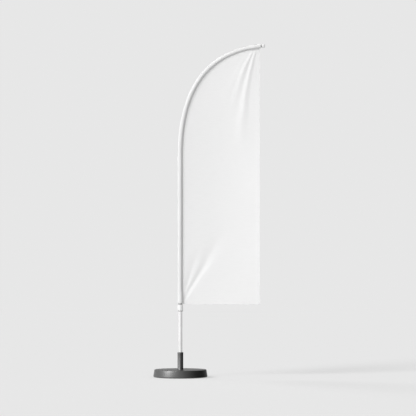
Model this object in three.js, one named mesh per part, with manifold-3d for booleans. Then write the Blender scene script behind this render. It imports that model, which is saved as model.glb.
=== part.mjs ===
// A feather flag on a heavy round foot, in millimetres, +Z up.
// The origin is the centre of the foot's underside, on the axis that the pole turns about,
// and the flag stands out towards +X.
//
// A concrete-filled foot carries a steel stem. Two ball bearings in the stem carry a socket that
// turns freely, and the pole drops into that socket. The pole is a straight tube that bends over
// at the top, built from four lengths that plug into each other. The flag's sleeve runs over the
// pole from a clamped collar up to the cap on the pole's tip.

import * as THREE from "three";
import { mergeVertices } from "three/addons/utils/BufferGeometryUtils.js";
import Module from "manifold-3d";

const wasm = await Module();
wasm.setup();

// ---------------------------------------------------------------- driving dimensions

const CLEAR = 0.3; // between pieces that fit into or onto each other
const SIDES = 16; // of a turned piece
const FOOT_SIDES = 36; // of the wide pieces in the foot
const PIN_SIDES = 10; // of a screw, pin or small hole
const ROD_SIDES = 12; // of the pole's two upper lengths

// The foot
const FOOT_RADIUS = 203; // at its widest, above the rolled edge
const FOOT_HEIGHT = 58;
const FOOT_TAPER = 8; // how much smaller its top is, in radius
const FOOT_ROLL = 7; // radius of the rolled lower edge
const FOOT_TOP_ROUND = 4; // radius of the upper edge
const SHELL_WALL = 4;
const RIM_LIFT = 2; // the shell's rim above the floor
const PLATE_THICKNESS = 3;
const PLATE_INSET = 14; // from the foot's widest line
const MAT_THICKNESS = 3;
const MAT_INSET = 3; // from the plate's edge

// The six screws that hold the bottom plate to the shell
const BOSS_COUNT = 6;
const BOSS_INSET = 39; // from the plate's edge
const BOSS_RADIUS = 8;
const PLATE_SCREW = { radius: 2.1, length: 27, headRadius: 6, headHeight: 2.4 };

// The four bolts that hold the stem to the bottom plate
const BOLT_COUNT = 4;
const BOLT_CIRCLE = 45; // radius
const FLANGE_BOLT = { radius: 3.7, length: 9, headRadius: 7, headHeight: 2.4 };

// The stem, its flange and its cap
const STEM_WALL = 2.7; // outside the bearings
const STEM_TOP = 167;
const STEM_SHOULDER = 2; // how far the bearings' shoulders stand in
const FLANGE_RADIUS = 60;
const FLANGE_THICKNESS = 6;
const CAP_OVERHANG = 0.3;
const CAP_HEIGHT = 20;
const CAP_SPIGOT = 10; // how far the cap reaches down into the stem
const CAP_EDGE = 1.5; // bevel
const SEAL_HEIGHT = 3;
const SEAL_WIDTH = 2.7;
const SPACER_WIDTH = 3; // of the ring under the lower bearing

// The ball bearings: thin-section, 25 x 37 x 7
const BEARING = { bore: 12.5, outer: 18.5, width: 7 }; // radii and width
const RACE_SHARE = 0.29; // each race's part of the bearing's section
const BALL_COUNT = 8;
const BALL_SINK = 0.5; // of a ball into each race
const GROOVE_CLEAR = 0.4; // round a ball
const CAGE_WIDTH = 1.6;
const CAGE_HEIGHT = 1.8;

// The turning socket
const SOCKET_WALL = 1.5;
const SOCKET_FLOOR = 4;
const SOCKET_LIFT = 2; // its foot above the bottom plate
const SOCKET_RIM = 1; // how far its flange stands out past the pole
const SOCKET_FLANGE_HEIGHT = 3;
const SOCKET_GROOVE = 1.1; // depth of the circlip's groove
const CIRCLIP = { width: 2.6, height: 1.5, gapAngle: 0.5 };

// The pole's lengths: outer radius and wall of each tube
const POLE_RADIUS = 14;
const POLE_WALL = 1.5;
const MIDDLE_WALL = 1.5;
const UPPER_WALL = 2;
const ROD_TIP_RADIUS = 5;
const LOWER_TOP = 900; // where each length ends, measured along the pole
const MIDDLE_TOP = 1580;
const UPPER_TOP = 2150;
const LENGTHS_OVERLAP = 80; // how far each length plugs into the one below
const FERRULE_HEIGHT = 14;
const FERRULE_BEVEL = 3;
const SPIGOT_GRIP = 55; // of the spigot inside the pole
const SPIGOT_BORE = 7;
const SPIGOT_PIN = { radius: 2.5, height: 15 }; // the height is above the pole's foot

// The arch at the top: the centre line is straight to ARCH_START, then one cubic curve
const ARCH_START = 1653;
const ARCH_RISE = 366; // how long the curve holds its upright start
const ARCH_REACH = 602; // where the sleeve ends, out along +X
const ARCH_TOP = 2482.5; // height of the centre line there
const ARCH_TIP_SLOPE = THREE.MathUtils.degToRad(6.5);
const ARCH_TIP = 508; // how long the curve holds its tip's slope
const ARCH_STEP = 46; // spacing of the stations along the curve

// The sleeve and the flag
const SLEEVE_BOTTOM = 555;
const SLEEVE_TIP_RADIUS = 15.8;
const SLEEVE_CLOTH = 1.2;
const FLAG_INSET = 7; // of the flag's free edge from the sleeve's end
const FLAG_DROP = 7; // of the flag's lower edge below the sleeve's mouth
const FLAG_THICKNESS = 0.8;

// The cap on the tip
const TIP_SHANK = 45; // inside the sleeve
const TIP_NECK_RADIUS = 12.5;
const TIP_NECK = 8;
const TIP_HEAD_RADIUS = 15;
const TIP_HEAD = 25;
const TIP_CROWN = 8; // length of the head's rounded end
const TIP_EDGE = 1; // bevel of the head's other end
const TIP_WALL = 3; // between the rod's socket and the neck
const TIP_PLAY = 1; // past the rod's end

// The collar under the sleeve
const COLLAR_WALL = 5.7;
const COLLAR_STRAIGHT = 32; // height of its straight part
const COLLAR_CONE = 27; // height of the cone above that
const COLLAR_GAP = 2; // between the cone and the sleeve's mouth
const COLLAR_EDGE = 1.2; // bevel
const NECK_WALL = 3.3; // of the neck that reaches into the sleeve
const NECK_HEIGHT = 25;
const BEAD = { start: 9, height: 10, rise: 0.9, slope: 1 }; // the ring that fills the mouth

// The collar's clamp screw, which points out to +Y
const CLAMP_HEIGHT = 18; // above the collar's foot
const CLAMP_BOSS_RADIUS = 8.5;
const CLAMP_BOSS_END = 25; // from the pole's axis
const CLAMP_INSERT_RADIUS = 4.5;
const CLAMP_STUD_RADIUS = 3;
const CLAMP_STUD_GRIP = 8; // of the stud inside the knob
const CLAMP_PAD_THICKNESS = 1.6;
const KNOB_RADIUS = 10;
const KNOB_SCALLOP = 1.4; // depth of the scallops round the knob
const KNOB_LOBES = 6;
const KNOB_HEIGHT = 13;
const KNOB_STANDOFF = 1.5;

// ---------------------------------------------------------------- sizes that follow

const plateRadius = FOOT_RADIUS - PLATE_INSET;
const plateBottom = MAT_THICKNESS;
const plateTop = plateBottom + PLATE_THICKNESS;
const bossCircle = plateRadius - BOSS_INSET;
const shellCeiling = FOOT_HEIGHT - SHELL_WALL;
const rollHeight = RIM_LIFT + FOOT_ROLL;
const flangeTop = plateTop + FLANGE_THICKNESS;
const bearingSeat = BEARING.outer + CLEAR;
const stemRadius = bearingSeat + STEM_WALL;
const capTop = STEM_TOP + CAP_HEIGHT;
const lowerBearing = flangeTop; // height of each bearing's lower face
const upperBearing = STEM_TOP - CAP_SPIGOT - BEARING.width;
const socketRadius = BEARING.bore - CLEAR;
const socketBore = socketRadius - SOCKET_WALL;
const socketBottom = plateTop + SOCKET_LIFT;
const socketFloor = socketBottom + SOCKET_FLOOR;
const socketFlange = POLE_RADIUS + SOCKET_RIM; // radius
const poleBottom = STEM_TOP - CAP_SPIGOT + SOCKET_FLANGE_HEIGHT;
const poleBore = POLE_RADIUS - POLE_WALL;
const middleRadius = poleBore - CLEAR;
const middleBore = middleRadius - MIDDLE_WALL;
const upperRadius = middleBore - CLEAR;
const upperBore = upperRadius - UPPER_WALL;
const rodRadius = upperBore - CLEAR;
const collarBore = POLE_RADIUS + CLEAR;
const neckRadius = collarBore + NECK_WALL;
const beadRadius = neckRadius + BEAD.rise;
const collarConeTop = COLLAR_STRAIGHT + COLLAR_CONE;
const collarBottom = SLEEVE_BOTTOM - COLLAR_GAP - collarConeTop;
const sleeveFootRadius = beadRadius + CLEAR + SLEEVE_CLOTH;
const padEnd = collarBore + CLAMP_PAD_THICKNESS;
const knobStart = CLAMP_BOSS_END + KNOB_STANDOFF;

// ---------------------------------------------------------------- materials

const finish = (color, roughness, metalness) =>
  new THREE.MeshStandardMaterial({ color, roughness, metalness });

const MATERIALS = {
  shell: finish(0x4b4b4d, 0.45, 0.0),
  stem: finish(0x48484a, 0.4, 0.2),
  concrete: finish(0x9c9a95, 0.95, 0.0),
  rubber: finish(0x1d1d1e, 0.85, 0.0),
  zincSteel: finish(0xb4b6b8, 0.35, 1.0),
  bearingSteel: finish(0xc3c6c9, 0.2, 1.0),
  brass: finish(0xc2a35a, 0.35, 1.0),
  paintedPole: finish(0xf2f2f1, 0.35, 0.1),
  glassFibre: finish(0xdfe0dc, 0.4, 0.0),
  whitePlastic: finish(0xf0f0ef, 0.45, 0.0),
  darkPlastic: finish(0x2c2c2d, 0.5, 0.0),
  flagCloth: finish(0xf1f1f0, 0.85, 0.0),
};

// ---------------------------------------------------------------- shapes

// A closed mesh as a solid for the booleans.
function solidOf(geometry) {
  const bare = geometry.clone();
  bare.deleteAttribute("normal");
  bare.deleteAttribute("uv");
  const merged = mergeVertices(bare, 1e-3);
  return new wasm.Manifold(
    new wasm.Mesh({
      numProp: 3,
      vertProperties: merged.attributes.position.array,
      triVerts: new Uint32Array(merged.index.array),
    }),
  );
}

// A solid as a mesh again.
function geometryOf(solid) {
  const { vertProperties, triVerts } = solid.getMesh();
  return new THREE.BufferGeometry()
    .setAttribute("position", new THREE.BufferAttribute(vertProperties, 3))
    .setIndex(new THREE.BufferAttribute(triVerts, 1));
}

const cut = (body, ...tools) =>
  geometryOf(tools.reduce((left, tool) => left.subtract(solidOf(tool)), solidOf(body)));

const joined = (...bodies) =>
  geometryOf(bodies.map(solidOf).reduce((whole, body) => whole.add(body)));

// Turns a profile of [radius, height] points, given anticlockwise, about +Z. A profile that
// doesn't touch the axis closes on itself.
function turned(profile, sides = SIDES) {
  const points = profile.map(([radius, height]) => new THREE.Vector2(radius, height));
  if (profile[0][0] > 0) points.push(points[0].clone());
  return new THREE.LatheGeometry(points, sides).rotateX(Math.PI / 2);
}

const disc = (radius, low, high, sides = SIDES) =>
  turned([[0, low], [radius, low], [radius, high], [0, high]], sides);

const ring = (inner, outer, low, high, sides = SIDES) =>
  turned([[inner, low], [outer, low], [outer, high], [inner, high]], sides);

// Points of an arc round [radius, height], between two angles from +radius.
function arc(radius, height, size, fromDegrees, toDegrees, steps) {
  const points = [];
  for (let i = 0; i <= steps; i += 1) {
    const angle = THREE.MathUtils.degToRad(fromDegrees + ((toDegrees - fromDegrees) * i) / steps);
    points.push([radius + size * Math.cos(angle), height + size * Math.sin(angle)]);
  }
  return points;
}

// Evenly spaced places on a circle round +Z, as [x, y].
function placesAround(count, radius) {
  return Array.from({ length: count }, (_, i) => {
    const angle = (2 * Math.PI * (i + 0.5)) / count;
    return [radius * Math.cos(angle), radius * Math.sin(angle)];
  });
}

const postsAround = (count, circle, radius, low, high) =>
  placesAround(count, circle).map(([x, y]) =>
    disc(radius, low, high, PIN_SIDES).translate(x, y, 0),
  );

function piece(name, material, geometry) {
  const mesh = new THREE.Mesh(geometry, MATERIALS[material]);
  mesh.name = name;
  return mesh;
}

function assembly(...parts) {
  const group = new THREE.Group();
  group.add(...parts);
  return group;
}

// ---------------------------------------------------------------- the mast line

const archEnd = new THREE.Vector3(ARCH_REACH, 0, ARCH_TOP);
const tipDirection = new THREE.Vector3(Math.cos(ARCH_TIP_SLOPE), 0, Math.sin(ARCH_TIP_SLOPE));
const arch = new THREE.CubicBezierCurve3(
  new THREE.Vector3(0, 0, ARCH_START),
  new THREE.Vector3(0, 0, ARCH_START + ARCH_RISE),
  archEnd.clone().addScaledVector(tipDirection, -ARCH_TIP),
  archEnd,
);
const archLength = arch.getLength();
const sleeveEnd = ARCH_START + archLength; // measured along the mast line

// The point of the mast line at a distance from the floor along it, and the direction there.
function mastAt(distance) {
  const past = distance - ARCH_START;
  if (past <= 0) {
    return { point: new THREE.Vector3(0, 0, distance), along: new THREE.Vector3(0, 0, 1) };
  }
  if (past >= archLength) {
    const point = archEnd.clone().addScaledVector(tipDirection, past - archLength);
    return { point, along: tipDirection };
  }
  const share = past / archLength;
  return { point: arch.getPointAt(share), along: arch.getTangentAt(share) };
}

// Stations along the mast line, close together only where it bends.
function stations(from, to) {
  const count = Math.round(archLength / ARCH_STEP);
  const bends = Array.from({ length: count + 1 }, (_, i) => ARCH_START + (archLength * i) / count);
  return [from, ...bends.filter((s) => s > from + 1 && s < to - 1), to];
}

// Bends a straight turned piece, whose height is its distance along the mast, to the mast line.
function bentToMast(geometry) {
  const place = geometry.getAttribute("position");
  for (let i = 0; i < place.count; i += 1) {
    const { point, along } = mastAt(place.getZ(i));
    const side = place.getX(i); // towards the flag
    place.setXYZ(i, point.x + side * along.z, place.getY(i), point.z - side * along.x);
  }
  return geometry;
}

// A tube along the mast line. Its radii are functions of the distance.
function mastTube(from, to, outer, inner, sides = SIDES) {
  const places = stations(from, to);
  const outside = places.map((s) => [outer(s), s]);
  const inside = places.map((s) => [inner(s), s]).reverse();
  return bentToMast(turned([...outside, ...inside], sides));
}

// A solid rod along the mast line.
function mastRod(from, to, outer, sides = SIDES) {
  const outside = stations(from, to).map((s) => [outer(s), s]);
  return bentToMast(turned([[0, from], ...outside, [0, to]], sides));
}

const evenTube = (from, to, outer, inner, sides) =>
  mastTube(from, to, () => outer, () => inner, sides);

// The sleeve narrows evenly from the start of the arch to the tip.
function sleeveRadius(distance) {
  const share = THREE.MathUtils.clamp((distance - ARCH_START) / archLength, 0, 1);
  return THREE.MathUtils.lerp(sleeveFootRadius, SLEEVE_TIP_RADIUS, share);
}

const sleeveBore = (distance) => sleeveRadius(distance) - SLEEVE_CLOTH;

// ---------------------------------------------------------------- the foot

// Outer radius of the shell's sloping side at a height.
function sideRadius(height) {
  return FOOT_RADIUS - (FOOT_TAPER * (height - rollHeight)) / (FOOT_HEIGHT - rollHeight);
}

function shell() {
  const roundStart = FOOT_HEIGHT - FOOT_TOP_ROUND;
  const hole = stemRadius + CLEAR;
  const pilotTop = plateBottom + PLATE_SCREW.length + 2;
  const walls = turned(
    [
      ...arc(FOOT_RADIUS - FOOT_ROLL, rollHeight, FOOT_ROLL, -90, 0, 3),
      ...arc(sideRadius(roundStart) - FOOT_TOP_ROUND, roundStart, FOOT_TOP_ROUND, 0, 90, 2),
      [hole, FOOT_HEIGHT],
      [hole, shellCeiling],
      [sideRadius(shellCeiling) - SHELL_WALL, shellCeiling],
      [FOOT_RADIUS - SHELL_WALL, rollHeight],
      [FOOT_RADIUS - FOOT_ROLL, RIM_LIFT + SHELL_WALL / 2],
    ],
    FOOT_SIDES,
  );
  return cut(
    joined(walls, ...postsAround(BOSS_COUNT, bossCircle, BOSS_RADIUS, plateTop, shellCeiling + 1)),
    ...postsAround(BOSS_COUNT, bossCircle, PLATE_SCREW.radius + CLEAR, 0, pilotTop),
  );
}

function ballast() {
  const inset = SHELL_WALL + 2 * CLEAR;
  const pocket = FLANGE_RADIUS + CLEAR;
  const pocketTop = flangeTop + CLEAR;
  const hole = stemRadius + CLEAR;
  const block = turned(
    [
      [pocket, plateTop],
      [plateRadius, plateTop],
      [FOOT_RADIUS - inset, rollHeight],
      [sideRadius(shellCeiling) - inset, shellCeiling],
      [hole, shellCeiling],
      [hole, pocketTop],
      [pocket, pocketTop],
    ],
    FOOT_SIDES,
  );
  return cut(block, ...postsAround(BOSS_COUNT, bossCircle, BOSS_RADIUS + CLEAR, 0, FOOT_HEIGHT));
}

function bottomPlate() {
  const screwHole = PLATE_SCREW.radius + 2 * CLEAR;
  const boltHole = FLANGE_BOLT.radius + 2 * CLEAR;
  return cut(
    disc(plateRadius, plateBottom, plateTop, FOOT_SIDES),
    ...postsAround(BOSS_COUNT, bossCircle, screwHole, 0, FOOT_HEIGHT),
    ...postsAround(BOLT_COUNT, BOLT_CIRCLE, boltHole, 0, FOOT_HEIGHT),
  );
}

function floorMat() {
  const screwHole = PLATE_SCREW.headRadius + 5 * CLEAR;
  const boltHole = FLANGE_BOLT.headRadius + 5 * CLEAR;
  return cut(
    disc(plateRadius - MAT_INSET, 0, MAT_THICKNESS, FOOT_SIDES),
    ...postsAround(BOSS_COUNT, bossCircle, screwHole, -1, MAT_THICKNESS + 1),
    ...postsAround(BOLT_COUNT, BOLT_CIRCLE, boltHole, -1, MAT_THICKNESS + 1),
  );
}

// A screw that points up, with the seat of its head at height 0.
function screw({ radius, length, headRadius, headHeight }) {
  return turned(
    [
      [0, -headHeight],
      [headRadius - 1, -headHeight],
      [headRadius, 1 - headHeight],
      [headRadius, 0],
      [radius, 0],
      [radius, length - radius],
      [0, length],
    ],
    PIN_SIDES,
  );
}

function screwsAround(name, count, circle, size) {
  return placesAround(count, circle).map(([x, y], i) => {
    const mesh = piece(`${name}_${i + 1}`, "zincSteel", screw(size));
    mesh.position.set(x, y, plateBottom);
    return mesh;
  });
}

function foot() {
  return assembly(
    piece("floor_mat", "rubber", floorMat()),
    piece("bottom_plate", "zincSteel", bottomPlate()),
    piece("ballast_core", "concrete", ballast()),
    piece("base_shell", "shell", shell()),
    ...screwsAround("plate_screw", BOSS_COUNT, bossCircle, PLATE_SCREW),
    ...screwsAround("flange_bolt", BOLT_COUNT, BOLT_CIRCLE, FLANGE_BOLT),
  );
}

// ---------------------------------------------------------------- the stem

function stemTube() {
  const narrow = bearingSeat - STEM_SHOULDER;
  const lowerShoulder = lowerBearing + BEARING.width;
  const tube = turned([
    [bearingSeat, plateTop],
    [FLANGE_RADIUS, plateTop],
    [FLANGE_RADIUS, flangeTop],
    [stemRadius, flangeTop],
    [stemRadius, STEM_TOP],
    [bearingSeat, STEM_TOP],
    [bearingSeat, upperBearing],
    [narrow, upperBearing],
    [narrow, lowerShoulder],
    [bearingSeat, lowerShoulder],
  ]);
  return cut(tube, ...postsAround(BOLT_COUNT, BOLT_CIRCLE, FLANGE_BOLT.radius + CLEAR, 0, STEM_TOP));
}

function stemCap() {
  const radius = stemRadius + CAP_OVERHANG;
  const bore = POLE_RADIUS + 2 * CLEAR;
  const flangeRoom = socketFlange + 2 * CLEAR;
  const flangeRoomTop = poleBottom + 2;
  const spigotBottom = STEM_TOP - CAP_SPIGOT;
  const sealSeat = POLE_RADIUS + SEAL_WIDTH + 2 * CLEAR;
  return turned([
    [flangeRoom, spigotBottom],
    [BEARING.outer, spigotBottom],
    [BEARING.outer, STEM_TOP],
    [radius, STEM_TOP],
    [radius, capTop - CAP_EDGE],
    [radius - CAP_EDGE, capTop],
    [sealSeat, capTop],
    [sealSeat, capTop - SEAL_HEIGHT],
    [bore, capTop - SEAL_HEIGHT],
    [bore, flangeRoomTop],
    [flangeRoom, flangeRoomTop],
  ]);
}

function stem() {
  const lip = POLE_RADIUS + CLEAR; // of the seal
  const spacerInner = BEARING.outer - SPACER_WIDTH;
  return assembly(
    piece("stem_tube", "stem", stemTube()),
    piece("stem_cap", "stem", stemCap()),
    piece("cap_seal", "rubber", ring(lip, lip + SEAL_WIDTH, capTop - SEAL_HEIGHT, capTop)),
    piece(
      "lower_bearing_spacer",
      "zincSteel",
      ring(spacerInner, BEARING.outer, plateTop, lowerBearing),
    ),
  );
}

// ---------------------------------------------------------------- the bearings

const ballCircle = (BEARING.bore + BEARING.outer) / 2;
const raceThickness = RACE_SHARE * (BEARING.outer - BEARING.bore);
const innerRaceFace = BEARING.bore + raceThickness;
const outerRaceFace = BEARING.outer - raceThickness;
const ballRadius = outerRaceFace - ballCircle + BALL_SINK;
const grooveRadius = ballRadius + GROOVE_CLEAR;
// Half of the groove's arc in either race.
const grooveHalf = THREE.MathUtils.radToDeg(Math.acos((outerRaceFace - ballCircle) / grooveRadius));

function innerRace() {
  return turned([
    [BEARING.bore, 0],
    [innerRaceFace, 0],
    ...arc(ballCircle, BEARING.width / 2, grooveRadius, 180 + grooveHalf, 180 - grooveHalf, 3),
    [innerRaceFace, BEARING.width],
    [BEARING.bore, BEARING.width],
  ]);
}

function outerRace() {
  return turned([
    [BEARING.outer, 0],
    [BEARING.outer, BEARING.width],
    [outerRaceFace, BEARING.width],
    ...arc(ballCircle, BEARING.width / 2, grooveRadius, grooveHalf, -grooveHalf, 3),
    [outerRaceFace, 0],
  ]);
}

// The cage with the balls that it holds.
function ballCage() {
  const middle = BEARING.width / 2;
  const band = ring(
    ballCircle - CAGE_WIDTH / 2,
    ballCircle + CAGE_WIDTH / 2,
    middle - CAGE_HEIGHT / 2,
    middle + CAGE_HEIGHT / 2,
  );
  const balls = placesAround(BALL_COUNT, ballCircle).map(([x, y]) =>
    new THREE.IcosahedronGeometry(ballRadius, 1).translate(x, y, middle),
  );
  return joined(band, ...balls);
}

function bearing(name, height) {
  const group = assembly(
    piece(`${name}_outer_race`, "bearingSteel", outerRace()),
    piece(`${name}_inner_race`, "bearingSteel", innerRace()),
    piece(`${name}_ball_cage`, "bearingSteel", ballCage()),
  );
  group.position.z = height;
  return group;
}

// ---------------------------------------------------------------- the turning socket

const socketGroove = socketRadius - SOCKET_GROOVE; // radius

function socket() {
  const grooveLow = lowerBearing - CIRCLIP.height - 2 * CLEAR;
  const flangeBottom = poleBottom - SOCKET_FLANGE_HEIGHT;
  return turned([
    [0, socketBottom],
    [socketRadius, socketBottom],
    [socketRadius, grooveLow],
    [socketGroove, grooveLow],
    [socketGroove, lowerBearing],
    [socketRadius, lowerBearing],
    [socketRadius, flangeBottom],
    [socketFlange, flangeBottom],
    [socketFlange, poleBottom],
    [socketBore, poleBottom],
    [socketBore, socketFloor],
    [0, socketFloor],
  ]);
}

// The open ring that stops the socket from lifting out of the lower bearing.
function circlip() {
  const { width, height, gapAngle } = CIRCLIP;
  const inner = socketGroove + CLEAR;
  const shape = new THREE.Shape()
    .absarc(0, 0, inner + width, gapAngle / 2, 2 * Math.PI - gapAngle / 2, false)
    .absarc(0, 0, inner, 2 * Math.PI - gapAngle / 2, gapAngle / 2, true);
  return new THREE.ExtrudeGeometry(shape, {
    depth: height,
    bevelEnabled: false,
    curveSegments: PIN_SIDES,
  }).translate(0, 0, lowerBearing - height - CLEAR);
}

function turningSocket() {
  return assembly(
    piece("turning_socket", "zincSteel", socket()),
    piece("socket_circlip", "bearingSteel", circlip()),
  );
}

// ---------------------------------------------------------------- the pole

const pinHeight = poleBottom + SPIGOT_PIN.height;
const rodEnd = sleeveEnd - TIP_WALL - TIP_PLAY;

// The cross pin lies along X.
const crossPin = (radius, halfLength) =>
  new THREE.CylinderGeometry(radius, radius, 2 * halfLength, PIN_SIDES)
    .rotateZ(Math.PI / 2)
    .translate(0, 0, pinHeight);

const crossPinHole = () => crossPin(SPIGOT_PIN.radius + CLEAR, 2 * POLE_RADIUS);

function spigot() {
  const gripTop = poleBottom + SPIGOT_GRIP;
  const end = socketFloor + 1;
  const radius = socketBore - CLEAR;
  const body = turned([
    [SPIGOT_BORE, end],
    [radius - 1, end],
    [radius, end + 2],
    [radius, poleBottom],
    [middleRadius, poleBottom],
    [middleRadius, gripTop],
    [SPIGOT_BORE, gripTop],
  ]);
  return cut(body, crossPinHole());
}

// A ferrule sits on the end of one length of the pole and grips the next length up.
function ferrule(gripRadius, seatRadius, seatHeight) {
  const foot = seatHeight + CLEAR;
  const top = foot + FERRULE_HEIGHT;
  const bore = gripRadius + CLEAR;
  return bentToMast(
    turned([
      [bore, foot],
      [seatRadius, foot],
      [seatRadius, top - FERRULE_BEVEL],
      [(bore + seatRadius) / 2, top],
      [bore, top],
    ]),
  );
}

// The tip rod is even as far as the length below holds it, and narrows from there to the tip.
function rodTaper(distance) {
  const share = THREE.MathUtils.clamp((distance - UPPER_TOP) / (rodEnd - UPPER_TOP), 0, 1);
  return THREE.MathUtils.lerp(rodRadius, ROD_TIP_RADIUS, share);
}

function pole() {
  const middleStart = LOWER_TOP - LENGTHS_OVERLAP;
  const upperStart = MIDDLE_TOP - LENGTHS_OVERLAP;
  const rodStart = UPPER_TOP - LENGTHS_OVERLAP;
  const lower = cut(evenTube(poleBottom, LOWER_TOP, POLE_RADIUS, poleBore), crossPinHole());
  const middle = evenTube(middleStart, MIDDLE_TOP, middleRadius, middleBore);
  const upper = evenTube(upperStart, UPPER_TOP, upperRadius, upperBore, ROD_SIDES);
  const rod = mastRod(rodStart, rodEnd, rodTaper, ROD_SIDES);
  return assembly(
    piece("pole_spigot", "zincSteel", spigot()),
    piece("spigot_pin", "zincSteel", crossPin(SPIGOT_PIN.radius, POLE_RADIUS - CLEAR)),
    piece("pole_lower_tube", "paintedPole", lower),
    piece("lower_ferrule", "darkPlastic", ferrule(middleRadius, POLE_RADIUS, LOWER_TOP)),
    piece("pole_middle_tube", "paintedPole", middle),
    piece("middle_ferrule", "darkPlastic", ferrule(upperRadius, middleRadius, MIDDLE_TOP)),
    piece("pole_upper_tube", "glassFibre", upper),
    piece("upper_ferrule", "darkPlastic", ferrule(rodRadius, upperRadius, UPPER_TOP)),
    piece("pole_tip_rod", "glassFibre", rod),
  );
}

// ---------------------------------------------------------------- the tip cap

function tipCap() {
  const shank = SLEEVE_TIP_RADIUS - SLEEVE_CLOTH - CLEAR;
  const mouth = sleeveEnd - TIP_SHANK;
  const socketEnd = sleeveEnd - TIP_WALL;
  const bore = rodTaper(mouth) + CLEAR;
  const neckEnd = sleeveEnd + TIP_NECK;
  const headEnd = neckEnd + TIP_HEAD;
  const crown = [0, 30, 60].map((degrees) => {
    const angle = THREE.MathUtils.degToRad(degrees);
    return [
      TIP_HEAD_RADIUS * Math.cos(angle),
      headEnd - TIP_CROWN * (1 - Math.sin(angle)),
    ];
  });
  return bentToMast(
    turned([
      [0, socketEnd],
      [bore, socketEnd],
      [bore, mouth],
      [shank, mouth],
      [shank, sleeveEnd],
      [TIP_NECK_RADIUS, sleeveEnd],
      [TIP_NECK_RADIUS, neckEnd],
      [TIP_HEAD_RADIUS - TIP_EDGE, neckEnd],
      [TIP_HEAD_RADIUS, neckEnd + TIP_EDGE],
      ...crown,
      [0, headEnd],
    ]),
  );
}

// ---------------------------------------------------------------- the sleeve and the flag

const flagBottom = SLEEVE_BOTTOM - FLAG_DROP;
const flagEdge = ARCH_REACH - FLAG_INSET;

// The edge of the flag beside the sleeve, as points of the flag's plane, up to its free edge.
function seamLine() {
  const points = [new THREE.Vector2(sleeveFootRadius + CLEAR, flagBottom)];
  for (const distance of stations(SLEEVE_BOTTOM, sleeveEnd).slice(1)) {
    const { point, along } = mastAt(distance);
    const offset = sleeveRadius(distance) + CLEAR;
    const next = new THREE.Vector2(point.x + offset * along.z, point.z - offset * along.x);
    const last = points[points.length - 1];
    if (next.x >= flagEdge) {
      points.push(last.clone().lerp(next, (flagEdge - last.x) / (next.x - last.x)));
      break;
    }
    points.push(next);
  }
  return points;
}

function flag() {
  const outline = new THREE.Shape([...seamLine(), new THREE.Vector2(flagEdge, flagBottom)]);
  return new THREE.ExtrudeGeometry(outline, { depth: FLAG_THICKNESS, bevelEnabled: false })
    .translate(0, 0, -FLAG_THICKNESS / 2)
    .rotateX(Math.PI / 2);
}

function cloth() {
  const sleeve = mastTube(SLEEVE_BOTTOM, sleeveEnd, sleeveRadius, sleeveBore);
  return assembly(
    piece("flag_sleeve", "flagCloth", sleeve),
    piece("flag_panel", "flagCloth", flag()),
  );
}

// ---------------------------------------------------------------- the collar and its screw

// A round bar along +Y, at the height of the clamp screw.
const clampBar = (radius, from, to, sides = PIN_SIDES) =>
  new THREE.CylinderGeometry(radius, radius, to - from, sides).translate(0, (from + to) / 2, 0);

function collarBody() {
  const radius = collarBore + COLLAR_WALL;
  const beadStart = collarConeTop + BEAD.start;
  const beadEnd = beadStart + BEAD.height;
  const neckTop = collarConeTop + NECK_HEIGHT;
  const body = turned([
    [collarBore, 0],
    [radius - COLLAR_EDGE, 0],
    [radius, COLLAR_EDGE],
    [radius, COLLAR_STRAIGHT],
    [neckRadius, collarConeTop],
    [neckRadius, beadStart],
    [beadRadius, beadStart + BEAD.slope],
    [beadRadius, beadEnd - BEAD.slope],
    [neckRadius, beadEnd],
    [neckRadius - COLLAR_EDGE, neckTop],
    [collarBore, neckTop],
  ]).translate(0, 0, -CLAMP_HEIGHT);
  const past = CLAMP_BOSS_END + 1;
  const boss = clampBar(CLAMP_BOSS_RADIUS, collarBore + 2, CLAMP_BOSS_END, SIDES);
  const studHole = clampBar(CLAMP_STUD_RADIUS + 2 * CLEAR, 0, past);
  const insertHole = clampBar(CLAMP_INSERT_RADIUS + CLEAR, padEnd + CLEAR, past);
  return cut(joined(body, boss), studHole, insertHole);
}

function clampInsert() {
  return cut(
    clampBar(CLAMP_INSERT_RADIUS, padEnd + 2 * CLEAR, CLAMP_BOSS_END),
    clampBar(CLAMP_STUD_RADIUS + CLEAR, 0, CLAMP_BOSS_END + 1),
  );
}

function knob() {
  const steps = 6 * KNOB_LOBES;
  const outline = Array.from({ length: steps }, (_, i) => {
    const angle = (2 * Math.PI * i) / steps;
    const radius = KNOB_RADIUS - (KNOB_SCALLOP * (1 + Math.cos(KNOB_LOBES * angle))) / 2;
    return new THREE.Vector2(radius * Math.cos(angle), radius * Math.sin(angle));
  });
  const grip = new THREE.ExtrudeGeometry(new THREE.Shape(outline), {
    depth: KNOB_HEIGHT,
    bevelEnabled: false,
  })
    .rotateX(-Math.PI / 2)
    .translate(0, knobStart, 0);
  const holeEnd = knobStart + CLAMP_STUD_GRIP + CLEAR;
  return cut(grip, clampBar(CLAMP_STUD_RADIUS + CLEAR, knobStart - 1, holeEnd));
}

function collar() {
  const group = assembly(
    piece("tension_collar", "whitePlastic", collarBody()),
    piece("clamp_insert", "brass", clampInsert()),
    piece("clamp_pad", "darkPlastic", clampBar(CLAMP_STUD_RADIUS, collarBore, padEnd)),
    piece("clamp_knob", "whitePlastic", knob()),
    piece(
      "clamp_stud",
      "zincSteel",
      clampBar(CLAMP_STUD_RADIUS, padEnd + CLEAR, knobStart + CLAMP_STUD_GRIP),
    ),
  );
  group.position.z = collarBottom + CLAMP_HEIGHT;
  return group;
}

// ---------------------------------------------------------------- the whole

export default assembly(
  foot(),
  stem(),
  bearing("lower_bearing", lowerBearing),
  bearing("upper_bearing", upperBearing),
  turningSocket(),
  pole(),
  piece("tip_cap", "whitePlastic", tipCap()),
  cloth(),
  collar(),
);
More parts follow.
